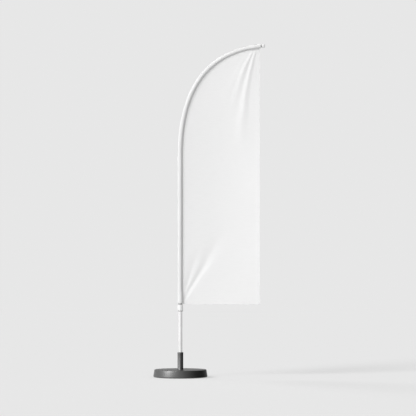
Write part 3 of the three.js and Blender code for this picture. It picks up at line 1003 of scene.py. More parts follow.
@dataclass
class Stem:
    """The stem that stands in the foot: tube, cap, seal, and the bearings inside."""

    finish: Finishes
    flange_thickness: float = 6 * MM
    shoulder: float = 2 * MM
    wall: float = 2.7 * MM
    cap_overhang: float = 0.3 * MM
    cap_spigot: float = 10 * MM
    seal_height: float = 3 * MM
    bolt_hole: float = 4 * MM
    weld: float = 3 * MM
    edge: float = 0.5 * MM

    def build(self) -> None:
        """Builds and dresses every piece of the stem."""
        self.tube()
        self.cap()
        self.seal()
        for bearing in ("lower_bearing", "upper_bearing"):
            for part in ("outer_race", "inner_race", "ball_cage"):
                keep_node(f"{bearing}_{part}", self.finish["bearing"])
        keep_node("lower_bearing_spacer", self.finish["zinc"])

    def tube(self) -> None:
        """The steel tube on its welded flange, with a fillet weld round its foot."""
        low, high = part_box("stem_tube")
        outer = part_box("stem_cap")[1].x - self.cap_overhang
        seat = outer - self.wall
        narrow = seat - self.shoulder
        flange_top = low.z + self.flange_thickness
        lower_seat_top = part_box("lower_bearing_outer_race")[1].z
        upper_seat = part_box("upper_bearing_outer_race")[0].z
        weld, edge = self.weld, self.edge
        profile = [
            (seat, low.z), (high.x, low.z), (high.x, flange_top), (outer + weld, flange_top),
            (outer + 0.3 * weld, flange_top + 0.3 * weld), (outer, flange_top + weld),
            (outer, high.z - edge), (outer - edge, high.z), (seat, high.z), (seat, upper_seat),
            (narrow, upper_seat), (narrow, lower_seat_top), (seat, lower_seat_top),
        ]
        obj = turned("stem_tube_coated", profile, 96)
        drill(obj, {"flange_bolt": self.bolt_hole}, low.z, flange_top)
        smooth(obj)
        dress(obj, self.finish["stem"], "base", ["stem_tube"])

    def cap(self) -> None:
        """The cap on the stem: rounded rim, a shallow finger groove, a seat for the seal."""
        low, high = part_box("stem_cap")
        seam = low.z + self.cap_spigot
        outer = high.x
        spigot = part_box("upper_bearing_outer_race")[1].x
        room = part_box("turning_socket")[1].x + 0.6 * MM
        room_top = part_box("turning_socket")[1].z + 2 * MM
        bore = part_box("pole_lower_tube")[1].x + 0.6 * MM
        seal_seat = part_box("cap_seal")[1].x + 0.3 * MM
        edge = 1.5 * MM
        groove = seam + 2.4 * MM
        hollow = outer - 0.6 * MM
        seal_low = high.z - self.seal_height
        profile = [
            (room, low.z), (spigot, low.z), (spigot, seam), (outer - self.edge, seam),
            (outer, seam + self.edge), (outer, groove), (hollow, groove + 0.6 * MM),
            (hollow, groove + 1.6 * MM), (outer, groove + 2.2 * MM),
            *arc((outer - edge, high.z - edge), edge, 0, 90, 6),
            (seal_seat, high.z), (seal_seat, seal_low), (bore, seal_low), (bore, room_top),
            (room, room_top),
        ]
        obj = smooth(turned("stem_cap_coated", profile, 96))
        dress(obj, self.finish["stem"], "base", ["stem_cap"])

    def seal(self) -> None:
        """The rubber wiper in the cap, with a thin lip round the pole."""
        low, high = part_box("cap_seal")
        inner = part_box("pole_lower_tube")[1].x + 0.3 * MM
        chamfer = 0.4 * MM
        profile = [
            (inner + self.edge, low.z), (high.x, low.z), (high.x, high.z - chamfer),
            (high.x - chamfer, high.z), (inner + 0.9 * MM, high.z - 0.2 * MM),
            (inner, high.z - 0.6 * MM), (inner, high.z - 1.2 * MM),
            (inner + self.edge, high.z - 1.6 * MM),
        ]
        obj = smooth(turned("wiper_seal", profile, 96))
        dress(obj, self.finish["rubber"], "base", ["cap_seal"])


# ---------------------------------------------------------------- the turning socket


@dataclass
class TurningSocket:
    """The steel socket that turns in the bearings and takes the pole's spigot."""

    finish: Finishes
    floor: float = 4 * MM
    wall: float = 1.5 * MM
    flange: float = 3 * MM
    groove_depth: float = 1.1 * MM
    play: float = 0.3 * MM
    edge: float = 0.6 * MM

    def build(self) -> None:
        """Builds the socket and dresses its circlip."""
        low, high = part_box("turning_socket")
        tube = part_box("pole_spigot")[1].x
        bore = tube - self.wall
        groove_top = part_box("lower_bearing_inner_race")[0].z
        groove_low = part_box("socket_circlip")[0].z - self.play
        groove = tube - self.groove_depth
        flange_low, floor, edge = high.z - self.flange, low.z + self.floor, self.edge
        profile = [
            (0, low.z), (tube - edge, low.z), (tube, low.z + edge), (tube, groove_low),
            (groove, groove_low), (groove, groove_top), (tube, groove_top), (tube, flange_low),
            (high.x - edge, flange_low), (high.x, flange_low + edge), (high.x, high.z - edge),
            (high.x - edge, high.z), (bore + edge, high.z), (bore, high.z - edge), (bore, floor),
            (0, floor),
        ]
        obj = smooth(turned("socket_tube", profile, 64))
        dress(obj, self.finish["zinc"], "rotor", ["turning_socket"])
        keep_node("socket_circlip", self.finish["bearing"])


# ---------------------------------------------------------------- the pole


@dataclass
class Pole:
    """The pole: spigot and pin at its foot, white lower tube, and the lengths in the sleeve."""

    finish: Finishes
    wall: float = 1.5 * MM
    spigot_bore: float = 7 * MM
    lower_reach: float = 10.4 * MM  # radius of the spigot inside the socket
    rim: float = 0.4 * MM
    edge: float = 0.5 * MM
    pin_radius: float = 2.5 * MM
    pin_hole: float = 2.8 * MM
    bands: int = 14  # rings of points along the lower tube

    def build(self) -> None:
        """Builds and dresses every piece of the pole."""
        self.lower_tube()
        self.spigot()
        self.pin()
        keep_node("pole_middle_tube", self.finish["pole"])
        for node in ("pole_upper_tube", "pole_tip_rod"):
            keep_node(node, self.finish["fibreglass"])
        for node in ("lower_ferrule", "middle_ferrule", "upper_ferrule"):
            keep_node(node, self.finish["nylon"])

    def pin_line(self) -> tuple[Vector, Vector]:
        """The cross pin's ends.

        Returns:
            The middle of each end.
        """
        low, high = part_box("spigot_pin")
        middle = (low + high) / 2
        return Vector((low.x, middle.y, middle.z)), Vector((high.x, middle.y, middle.z))

    def lower_tube(self) -> None:
        """The white tube that shows between the stem and the collar."""
        low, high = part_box("pole_lower_tube")
        outer, inner = high.x, high.x - self.wall
        rim = self.rim
        profile = [
            (inner + rim, low.z), (outer - rim, low.z), (outer, low.z + rim),
            *[(outer, z) for z in np.linspace(low.z + 0.05, high.z - 0.05, self.bands)],
            (outer, high.z - rim), (outer - rim, high.z), (inner + rim, high.z),
            (inner, high.z - rim), (inner, low.z + rim),
        ]
        obj = turned("pole_lower_coated", profile, 96)
        start, end = self.pin_line()
        reach = (end - start) * 0.5
        hole = bar("hole", self.pin_hole, start - reach, end + reach)
        smooth(combine(obj, [hole], "DIFFERENCE"))
        dress(obj, self.finish["pole"], "pole", ["pole_lower_tube"])

    def spigot(self) -> None:
        """The steel spigot: a stepped tube whose lower end drops into the socket."""
        low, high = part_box("pole_spigot")
        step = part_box("turning_socket")[1].z
        grip, reach, bore, edge = high.x, self.lower_reach, self.spigot_bore, self.edge
        profile = [
            (bore, low.z), (reach - 1.5 * MM, low.z), (reach, low.z + 3 * MM),
            (reach, step - 2 * MM), (reach - edge, step - 1.5 * MM), (reach - edge, step),
            (grip - edge, step), (grip, step + edge), (grip, high.z - 1 * MM),
            (grip - 1 * MM, high.z), (bore + edge, high.z), (bore, high.z - edge),
        ]
        obj = turned("spigot_stepped", profile, 64)
        smooth(combine(obj, [bar("hole", self.pin_hole, *self.pin_line())], "DIFFERENCE"))
        dress(obj, self.finish["zinc"], "pole", ["pole_spigot"])

    def pin(self) -> None:
        """The cross pin, with its ends rounded over."""
        obj = soften(bar("cross_pin", self.pin_radius, *self.pin_line()), self.edge)
        dress(obj, self.finish["zinc"], "pole", ["spigot_pin"])


# ---------------------------------------------------------------- the tip cap


@dataclass
class TipCap:
    """The moulded cap on the pole's tip, whose shank fills the sleeve's end."""

    finish: Finishes
    mast: MastLine
    shank: float = 45 * MM
    shank_radius: float = 14.3 * MM
    bore_radius: float = 5.5 * MM
    bore_wall: float = 3 * MM
    neck_radius: float = 9.5 * MM
    neck: float = 8 * MM
    head_radius: float = 15 * MM
    head: float = 25 * MM
    crown: float = 8 * MM
    edge: float = 0.6 * MM

    def build(self) -> None:
        """Turns the cap upright at the origin, then lays it along the mast's end."""
        neck_end, head_end = self.neck, self.neck + self.head
        dome = [
            (self.head_radius * math.cos(a), head_end - self.crown * (1 - math.sin(a)))
            for a in np.radians(np.linspace(0, 82, 12))
        ]
        shank, neck, edge = self.shank_radius, self.neck_radius, self.edge
        profile = [
            (0, -self.bore_wall), (self.bore_radius, -self.bore_wall),
            (self.bore_radius, -self.shank), (shank - 1.5 * MM, -self.shank),
            (shank, -self.shank + 1.5 * MM), (shank, -edge), (shank - edge, 0),
            (neck + 0.5 * MM, 0), (neck, edge), (neck, neck_end - edge),
            (neck + 0.5 * MM, neck_end),
            *arc((self.head_radius - 1 * MM, neck_end + 1 * MM), 1 * MM, -90, 0, 5),
            *dome,
            (0, head_end),
        ]
        obj = smooth(turned("tip_cap_moulded", profile, 64))
        near = 0.1 * MM
        # the neck's faces get painted shade: the white plastic in a darker grey, for the shade in
        # the recess under the head
        painted_shade_faces = [-near < face.center.z < neck_end + near for face in obj.data.polygons]
        turn = Matrix.Rotation(math.pi / 2 - self.mast.slope, 4, "Y")
        end = Vector(self.mast.at(self.mast.end)[0][0])
        settle(obj, Matrix.Translation(end) @ turn)
        dress(obj, self.finish["white"], "pole", ["tip_cap"])
        second_finish(obj, self.finish["painted_shade"], painted_shade_faces)


# ---------------------------------------------------------------- the collar and its screw


@dataclass
class Collar:
    """The clamped collar under the sleeve, and the screw behind it that holds it."""

    finish: Finishes
    play: float = 0.3 * MM
    straight: float = 32 * MM
    shoulder_radius: float = 18.6 * MM
    groove_start: float = 50 * MM
    groove_end: float = 60 * MM
    groove_wall: float = 0.9 * MM
    undercut: float = 5.5 * MM
    neck_radius: float = 17.6 * MM
    bead_radius: float = 18.5 * MM
    bead_start: float = 68 * MM
    bead_end: float = 78 * MM
    boss_radius: float = 8.5 * MM
    stud_hole: float = 3.6 * MM
    insert_hole: float = 4.8 * MM
    knob_lobes: int = 6
    knob_scallop: float = 0.86
    lobe_turn: float = math.radians(30)  # a lobe stands upright

    def build(self) -> None:
        """Builds and dresses every piece of the collar and its screw."""
        self.body()
        self.knob()
        keep_node("clamp_insert", self.finish["brass"])
        keep_node("clamp_pad", self.finish["nylon"])
        keep_node("clamp_stud", self.finish["zinc"])

    def body(self) -> None:
        """The moulded collar: undercut foot, straight grip, cone, deep groove, neck with a bead."""
        low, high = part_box("tension_collar")
        bottom, outer = low.z, high.x
        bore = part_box("pole_lower_tube")[1].x + self.play
        web, shoulder, neck, bead = (
            bore + self.groove_wall, self.shoulder_radius, self.neck_radius, self.bead_radius
        )
        cone_start, groove_low, groove_high, bead_low, bead_high = (
            bottom + up
            for up in (self.straight, self.groove_start, self.groove_end, self.bead_start,
                       self.bead_end)
        )
        profile = [
            (bore, bottom + 0.6 * MM), (bore + 0.6 * MM, bottom), (bore + 1.2 * MM, bottom),
            *arc((outer - 0.8 * MM, bottom + self.undercut), 0.8 * MM, -45, 0, 3),
            *self.grip_rings(bottom + 9 * MM, outer),
            (outer, cone_start - 2 * MM), (outer - 0.25 * MM, cone_start),
            (outer - 0.8 * MM, cone_start + 5 * MM), (shoulder, groove_low - 1 * MM),
            (shoulder - 0.8 * MM, groove_low), (web, groove_low + 0.3 * MM),
            (web, groove_high - 0.3 * MM), (neck - 0.8 * MM, groove_high),
            (neck - 0.4 * MM, groove_high + 0.5 * MM), (neck - 0.4 * MM, bead_low),
            (bead - 0.3 * MM, bead_low + 1 * MM), (bead, bead_low + 2.5 * MM),
            (bead, bead_high - 2.5 * MM), (bead - 0.3 * MM, bead_high - 1 * MM),
            (neck - 0.4 * MM, bead_high), (neck - 1.2 * MM, high.z), (bore + 0.4 * MM, high.z),
            (bore, high.z - 0.4 * MM),
        ]
        obj = turned("collar_moulded", profile, 96)
        height = centre_of("clamp_knob").z
        boss_end = high.y

        def point(out: float) -> Vector:
            """A point of the clamp screw's line."""
            return Vector((0, out, height))

        boss = bar("boss", self.boss_radius, point(bore + 2 * MM), point(boss_end), 48)
        combine(obj, [soften(boss, 0.8 * MM)], "UNION")
        insert_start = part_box("clamp_insert")[0].y - self.play
        holes = [
            bar("hole", self.stud_hole, point(0), point(boss_end + MM)),
            bar("hole", self.insert_hole, point(insert_start), point(boss_end + MM)),
        ]
        combine(obj, holes, "DIFFERENCE")
        smooth(obj)
        dress(obj, self.finish["white"], "collar", ["tension_collar"])
        # the deep groove and the undercut foot get painted shade: the white plastic in a darker
        # grey, for the shade that falls in them
        painted_shade_faces = []
        for face in obj.data.polygons:
            up = face.center.z - bottom
            in_groove = self.groove_start < up < self.groove_end and face.center.y < outer
            painted_shade_faces.append(in_groove or up < self.undercut)
        second_finish(obj, self.finish["painted_shade"], painted_shade_faces)

    def grip_rings(self, start: float, outer: float) -> list[tuple[float, float]]:
        """Two shallow grooves round the straight part, which give the fingers a hold.

        Args:
            start: Height of the lower groove's lower edge.
            outer: The collar's outer radius.

        Returns:
            Points of (radius, height).
        """
        ring = [
            (outer, 0.0), (outer - 0.5 * MM, 0.5 * MM), (outer - 0.5 * MM, 1.5 * MM),
            (outer, 2 * MM),
        ]
        return [(radius, start + offset + up) for offset in (0, 14 * MM) for radius, up in ring]

    def knob(self) -> None:
        """The lobed knob: turned with a dished end and a blind bore, drawn in between its lobes."""
        low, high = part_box("clamp_knob")
        middle = (low + high) / 2
        radius, depth = high.z - middle.z, high.y - low.y
        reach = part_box("clamp_stud")[1].y - low.y + self.play
        edge, bore, hub, dish = 1.2 * MM, 3.3 * MM, 0.8 * MM, depth - 0.5 * MM
        profile = [
            (0, reach), (bore, reach), (bore, 0), (5.2 * MM, 0), (5.6 * MM, hub),
            (radius - edge, hub),
            *arc((radius - edge, hub + edge), edge, -90, 0, 5)[1:],
            *arc((radius - edge, depth - edge), edge, 0, 90, 5),
            (6.4 * MM, depth), (5.8 * MM, dish), (3.0 * MM, dish),
            (2.4 * MM, depth - 0.1 * MM), (0, depth - 0.1 * MM),
        ]
        obj = turned("knob_moulded", profile, self.knob_lobes * 16)
        for vertex in obj.data.vertices:
            angle = math.atan2(vertex.co.y, vertex.co.x)
            dip = (1 + math.cos(self.knob_lobes * angle)) / 2
            outward = (vertex.co.xy.length - 6.4 * MM) / (2.4 * MM)
            drawn = float(smoothstep(np.array(outward)))
            pull = 1 - (1 - self.knob_scallop) * dip * drawn
            vertex.co.xy = vertex.co.xy * pull
        turn = Matrix.Rotation(-math.pi / 2, 4, "X") @ Matrix.Rotation(self.lobe_turn, 4, "Z")
        settle(obj, Matrix.Translation((middle.x, low.y, middle.z)) @ turn)
        smooth(obj)
        dress(obj, self.finish["white"], "clamp_screw", ["clamp_knob"])


# ---------------------------------------------------------------- the cloth


def smoothstep(value: np.ndarray) -> np.ndarray:
    """0 below 0, 1 above 1, and a smooth rise between."""
    value = np.clip(value, 0.0, 1.0)
    return value * value * (3 - 2 * value)


def grid_faces(rows: int, cols: int, closed: bool = False) -> list[tuple[int, int, int, int]]:
    """Faces of a grid of points that are numbered row by row.

    Args:
        rows: How many rows there are.
        cols: How many points a row has.
        closed: Whether each row's last point joins its first.

    Returns:
        The point numbers of each face.
    """
    faces = []
    for i in range(rows - 1):
        for j in range(cols if closed else cols - 1):
            k = (j + 1) % cols
            faces.append((i * cols + j, i * cols + k, (i + 1) * cols + k, (i + 1) * cols + j))
    return faces


@dataclass(frozen=True)
class Fold:
    """A tension fold in the flag, given by its path in the flag's plane.

    Args:
        path: Points of (x, z, half width, lift) in millimetres, from low to high. The lift is
            towards the front, so a valley's is negative.
    """

    path: Sequence[tuple[float, float, float, float]]

    def lift(self, x: np.ndarray, z: np.ndarray) -> np.ndarray:
        """How far the fold lifts the cloth at points of its plane.

        Args:
            x: How far out.
            z: How high.

        Returns:
            The lift in metres, towards the front.
        """
        along_x, along_z, width, height = np.array(self.path).T * MM
        middle, half, rise = (np.interp(z, along_z, value) for value in (along_x, width, height))
        return rise * np.exp(-(((x - middle) / half) ** 2))


@dataclass
class Flag:
    """The flag: the sleeve over the pole, the panel sewn to it, its hems and its stitching."""

    finish: Finishes
    mast: MastLine
    sleeve_bottom: float = 0.555
    sleeve_tip_radius: float = 15.8 * MM
    sleeve_cloth: float = 0.8 * MM
    seam_lap: float = 1.0 * MM  # how far the panel's edge is tucked into the sleeve
    seam_ridge: float = 0.6 * MM
    drop_shift: float = 0.15  # how far the drop's round part sits off centre
    seam_allowance: float = 12 * MM
    hem: float = 15 * MM
    single: float = 0.25 * MM  # half the thickness of one layer
    double: float = 0.6 * MM  # half the thickness where layers are sewn together
    row_step: float = 7 * MM
    columns: int = 92
    around: int = 88
    sleeve_marks: tuple[float, ...] = (1, 2, 3.5, 5, 19, 20, 21, 22)  # of its hem, in mm up
    panel_marks: tuple[float, ...] = (1, 13, 14, 15, 16, 17)  # of its lower hem, in mm up
    edge_marks: tuple[float, ...] = (17, 16, 15, 14, 13, 8, 1, 0)  # of its side hem, in mm in
    seam_stitches: tuple[float, ...] = (4.5 * MM, 9.5 * MM)  # the rows' distances from the seam
    stitch: float = 4.2 * MM
    stitch_pitch: float = 6.4 * MM
    stitch_thickness: float = 0.55 * MM

    def build(self) -> None:
        """Builds and dresses the sleeve, the panel and the stitching."""
        low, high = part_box("flag_panel")
        self.bottom, self.edge, self.tip_height = low.z, high.x, high.z
        self.foot_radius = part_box("flag_sleeve")[1].y
        self.folds = self.tension_folds()
        sleeve = self.sleeve()
        panel = self.panel()
        stitches = self.stitches()
        self.panel_area()

    def tube_radius(self, distance: np.ndarray) -> np.ndarray:
        """Outer radius of the sleeve, which narrows evenly over the arch."""
        share = np.clip((distance - self.mast.start) / (self.mast.end - self.mast.start), 0, 1)
        return self.foot_radius + (self.sleeve_tip_radius - self.foot_radius) * share

    # The sleeve

    def sleeve(self) -> Piece:
        """The tube of cloth over the pole: a round section drawn to a ridge at the seam.

        Returns:
            The sleeve.
        """
        spots = self.mast.stations(self.sleeve_bottom, self.mast.end, self.row_step)
        marks = self.sleeve_bottom + np.array(self.sleeve_marks) * MM
        spots = np.unique(np.concatenate([spots, marks]))
        around = self.around
        angles = np.linspace(0, 2 * math.pi, around, endpoint=False)
        centre, along = self.mast.at(spots)
        side = np.stack([along[:, 2], np.zeros(len(spots)), -along[:, 0]], axis=1)
        turn = np.angle(np.exp(1j * angles))[None, :]
        radius = self.tube_radius(spots)[:, None] * self.section(spots[:, None], turn)
        radius += self.sleeve_relief(spots[:, None], turn)
        points = (
            centre[:, None, :]
            + side[:, None, :] * (radius * np.cos(angles))[:, :, None]
            + np.array([0.0, 1.0, 0.0]) * (radius * np.sin(angles))[:, :, None]
        )
        widths = np.arange(around + 1) * (2 * math.pi * self.foot_radius) / around
        uvs = [
            corner
            for low, high in zip(spots, spots[1:])
            for left, right in zip(widths, widths[1:])
            for corner in ((left, low), (right, low), (right, high), (left, high))
        ]
        faces = grid_faces(len(spots), around, closed=True)
        obj = self.mesh_object("flag_sleeve_sewn", points.reshape(-1, 3), faces, uvs)
        self.face_away(obj)
        only(obj)
        bpy.ops.object.modifier_add(type="SOLIDIFY")
        modifier = obj.modifiers[-1]
        modifier.thickness = self.sleeve_cloth
        modifier.offset = -1
        bpy.ops.object.modifier_apply(modifier=modifier.name)
        smooth(obj, 60)
        return dress(obj, self.finish["sleeve"], "pole", ["flag_sleeve"])

    def section(self, spots: np.ndarray, turn: np.ndarray) -> np.ndarray:
        """The sleeve's section: pulled to a drop whose point is the seam, and round at its ends.

        Args:
            spots: Distances along the mast.
            turn: Angles round the tube from the flag's side, in radians.

        Returns:
            The section's radius as a share of the tube's.
        """
        shift = self.drop_shift
        ball, reach = 1 - shift, 1 + shift
        tilt = math.acos(ball / reach)
        touch = math.atan2(ball * math.sin(tilt), ball * math.cos(tilt) - shift)
        flat = math.cos(tilt) / np.cos(np.abs(turn) - tilt)
        curved = -shift * np.cos(turn) + np.sqrt(ball**2 - (shift * np.sin(turn)) ** 2)
        drop = np.where(np.abs(turn) < touch, flat, curved)
        held_low = smoothstep((spots - self.sleeve_bottom - 45 * MM) / (70 * MM))
        held_high = smoothstep((self.mast.end - 50 * MM - spots) / (70 * MM))
        return 1 + (drop - 1) * held_low * held_high

    def sleeve_relief(self, spots: np.ndarray, turn: np.ndarray) -> np.ndarray:
        """How far the sleeve's cloth stands off its round tube.

        Args:
            spots: Distances along the mast.
            turn: Angles round the tube from the flag's side, in radians.

        Returns:
            The offsets, in metres.
        """
        ridge = self.seam_ridge * np.exp(-((turn / math.radians(6)) ** 2))
        above = spots - self.sleeve_bottom
        cinch = -1.3 * MM * (1 - smoothstep(above / (6 * MM)))
        hem = 0.45 * MM * (smoothstep(above / (4 * MM)) - smoothstep((above - 19 * MM) / (2 * MM)))
        # the cloth on the inside of the arch has less way to go, so it gathers across
        into_arch = smoothstep((spots - self.mast.start) / 0.2)
        into_arch = into_arch * smoothstep((self.mast.end - spots) / 0.1)
        inner = np.exp(-((turn / math.radians(75)) ** 2))
        uneven = 2.5 * np.sin(spots / 0.043)
        gather = 0.28 * MM * into_arch * inner * np.sin(spots / (5.2 * MM) + uneven)
        near_seam = np.exp(-((np.abs(turn) / math.radians(32)) ** 2))
        pucker = 0.28 * MM * near_seam * np.sin(spots / (2.9 * MM))
        slack = 0.2 * MM * np.sin(3 * turn + spots * 9) * np.sin(spots * 23 + turn)
        return ridge + cinch + hem + gather + pucker + slack * smoothstep(above / 0.05)

    # The panel

    def tension_folds(self) -> list[Fold]:
        """The folds that pull out from the tip's corner and from the corner by the collar.

        Returns:
            The folds.
        """
        left_ridge = [(385, 1980, 36, 0), (406, 2079, 30, 1.7), (428, 2154, 26, 3.4),
                      (451, 2229, 22, 4.6), (469, 2289, 20, 6.1), (486, 2334, 18, 6.1),
                      (500, 2364, 15, 5.2), (517, 2394, 12, 4.4), (531, 2425, 10, 3.6),
                      (543, 2456, 8, 0)]
        right_ridge = [(446, 1700, 45, 0), (457, 1854, 38, 3.4), (464, 1929, 33, 5.3),
                       (475, 2004, 28, 6.1), (481, 2079, 24, 6.5), (492, 2154, 21, 6.5),
                       (506, 2229, 18, 6.1), (520, 2289, 15, 4.9), (532, 2334, 13, 4.6),
                       (539, 2364, 12, 4.4), (547, 2394, 11, 4.2), (556, 2425, 10, 3.6),
                       (566, 2458, 8, 0)]
        far_ridge = [(300, 2000, 40, 0), (352, 2120, 32, 1), (410, 2250, 26, 1.6),
                     (452, 2340, 20, 1.4), (480, 2385, 15, 0.9), (500, 2420, 12, 0)]
        right_valley = [(24, 560, 10, 0), (38, 600, 14, -3.7), (61, 639, 17, -5.8),
                        (91, 691, 20, -6.6), (136, 766, 25, -7.1), (180, 841, 33, -7.1),
                        (212, 916, 44, -6.1), (252, 991, 58, -4.1), (289, 1066, 70, -2),
                        (340, 1160, 80, 0)]
        left_valley = [(24, 600, 9, 0), (33, 640, 11, -2.7), (48, 691, 14, -4.2),
                       (70, 766, 23, -4.5), (92, 841, 32, -3.6), (124, 916, 38, -1.8),
                       (150, 990, 42, 0)]
        paths = (left_ridge, right_ridge, far_ridge, right_valley, left_valley)
        return [Fold(path) for path in paths]

    def lift(self, x: np.ndarray, z: np.ndarray, from_seam: np.ndarray) -> np.ndarray:
        """How far the panel stands towards +Y at points of its plane.

        Args:
            x: How far out.
            z: How high.
            from_seam: Distance from the seam, square to it.

        Returns:
            The offsets, in metres.
        """
        out = np.clip(x / self.edge, 0, 1)
        up = np.clip((z - self.bottom) / (self.tip_height - self.bottom), 0, 1)
        billow = -0.034 * out**2 * (1 - up) ** 1.2
        billow = billow + 0.012 * np.sin(math.pi * out) * np.sin(math.pi * up)
        wave = 2.2 * MM * np.sin(9.0 * x + 3.1 * z) * out
        edge_wave = 1.6 * MM * np.sin(z * 11 + 1.0) * smoothstep((out - 0.8) / 0.2)
        folds = sum(fold.lift(x, z) for fold in self.folds)
        free = 1 - np.exp(-np.maximum(from_seam, 0) / (12 * MM))
        pucker = 0.35 * MM * np.exp(-from_seam / (9 * MM)) * np.sin((z + x) / (2.9 * MM))
        pucker = pucker * smoothstep(from_seam / (2 * MM))
        return (billow + wave + edge_wave - folds) * free + pucker

    def beside_seam(self, spots: np.ndarray, out: float = 0.0) -> tuple[np.ndarray, np.ndarray]:
        """Points beside the seam.

        Args:
            spots: Distances along the mast.
            out: How far the points lie from the seam.

        Returns:
            Each point as (x, z), and the cosine of the seam's slope there.
        """
        centre, along = self.mast.at(spots)
        offset = self.tube_radius(spots) - self.seam_lap + out
        x = centre[:, 0] + offset * along[:, 2]
        z = centre[:, 2] - offset * along[:, 0]
        return np.stack([x, z], axis=1), along[:, 2]

    def rows(self) -> tuple[np.ndarray, np.ndarray]:
        """Where each row of the panel starts.

        Returns:
            Each row's start on the seam as (x, z), and the cosine of the seam's slope there.
        """
        spots = self.mast.stations(self.bottom, self.mast.end, self.row_step)
        marks = self.bottom + np.array(self.panel_marks) * MM
        start, upright = self.beside_seam(np.unique(np.concatenate([spots, marks])))
        keep = start[:, 0] < self.edge - 0.5 * MM
        start, upright = start[keep], upright[keep]
        corner = np.array([[self.edge - 0.2 * MM, self.tip_height]])
        return np.concatenate([start, corner]), np.concatenate([upright, upright[-1:]])

    def columns_across(self) -> np.ndarray:
        """Shares of the way across, close together at the free edge's hem.

        Returns:
            The shares, from 0 at the seam to 1 at the free edge.
        """
        width = self.edge - self.foot_radius
        even = np.linspace(0, 1 - self.hem * 1.3 / width, self.columns)
        at_hem = 1 - np.array(self.edge_marks) * MM / width
        return np.concatenate([even, at_hem[at_hem > even[-1] + 1e-6]])

    def panel(self) -> Piece:
        """The flat cloth: a grid from the seam to the free edge, thicker where it is hemmed.

        Returns:
            The panel.
        """
        starts, upright = self.rows()
        across = self.columns_across()
        x = starts[:, :1] + (self.edge - starts[:, :1]) * across
        z = np.repeat(starts[:, 1:], len(across), axis=1)
        from_seam = (x - starts[:, :1]) * upright[:, None]
        y = self.lift(x, z, from_seam)
        half = self.half_thickness(x, z, from_seam)
        rows, cols = x.shape
        front = np.stack([x, y - half, z], axis=2).reshape(-1, 3)
        back = np.stack([x, y + half, z], axis=2).reshape(-1, 3)
        shift = rows * cols
        faces = []
        for quad in grid_faces(rows, cols):
            faces += [quad, tuple(n + shift for n in reversed(quad))]
        rim = [
            *range(cols),
            *(i * cols + cols - 1 for i in range(1, rows)),
            *((rows - 1) * cols + j for j in range(cols - 2, -1, -1)),
            *(i * cols for i in range(rows - 2, 0, -1)),
        ]
        faces += [(b, a, a + shift, b + shift) for a, b in zip(rim, rim[1:] + rim[:1])]
        obj = self.mesh_object("flag_panel_sewn", np.concatenate([front, back]), faces)
        make_outward(obj)
        smooth(obj, 60)
        return dress(obj, self.finish["panel"], "pole", ["flag_panel"])

    def half_thickness(self, x: np.ndarray, z: np.ndarray, from_seam: np.ndarray) -> np.ndarray:
        """Half the cloth's thickness: one layer, or more in the hems and the seam allowance.

        Args:
            x: How far out.
            z: How high.
            from_seam: Distance from the seam, square to it.

        Returns:
            Half the thickness at each point.
        """
        ramp = 1.2 * MM
        hem_in = smoothstep((x - (self.edge - self.hem)) / ramp)
        hem_low = smoothstep((self.bottom + self.hem - z) / ramp)
        allowance = smoothstep((self.seam_allowance - from_seam) / ramp)
        layered = np.maximum(np.maximum(hem_in, hem_low), allowance)
        return self.single + (self.double - self.single) * layered

    def panel_area(self) -> float:
        """The panel's flat area, row by row.

        Returns:
            The area in square metres.
        """
        starts, _ = self.rows()
        widths = self.edge - starts[:, 0]
        return float(np.sum(np.diff(starts[:, 1]) * (widths[1:] + widths[:-1]) / 2))

    # The stitching

    def seam_row(self, from_seam: float) -> tuple[np.ndarray, np.ndarray]:
        """Points of a row of stitches beside the seam, and the distance from it at each.

        Args:
            from_seam: The row's distance from the seam.

        Returns:
            Points of (x, z), and that distance for each.
        """
        spots = self.mast.stations(self.bottom + 3 * MM, self.mast.end - 6 * MM, 1 * MM)
        points, _ = self.beside_seam(spots, from_seam)
        points = points[points[:, 0] < self.edge - self.hem / 2]
        return points, np.full(len(points), from_seam)

    def hem_rows(self) -> list[tuple[np.ndarray, np.ndarray]]:
        """The rows of stitches along the free edge and along the lower edge.

        Returns:
            For each row its points of (x, z), and their distances from the seam.
        """
        inset = self.hem - 2.5 * MM
        heights = np.arange(self.bottom + 3 * MM, self.tip_height - 9 * MM, MM)
        edge_row = np.stack([np.full(len(heights), self.edge - inset), heights], axis=1)
        starts, upright = self.rows()
        seam_x = np.interp(heights, starts[:, 1], starts[:, 0])
        slope = np.interp(heights, starts[:, 1], upright)
        outs = np.arange(self.foot_radius + 3 * MM, self.edge - 3 * MM, MM)
        low_row = np.stack([outs, np.full(len(outs), self.bottom + inset)], axis=1)
        return [
            (edge_row, (edge_row[:, 0] - seam_x) * slope),
            (low_row, outs - self.foot_radius + self.seam_lap),
        ]

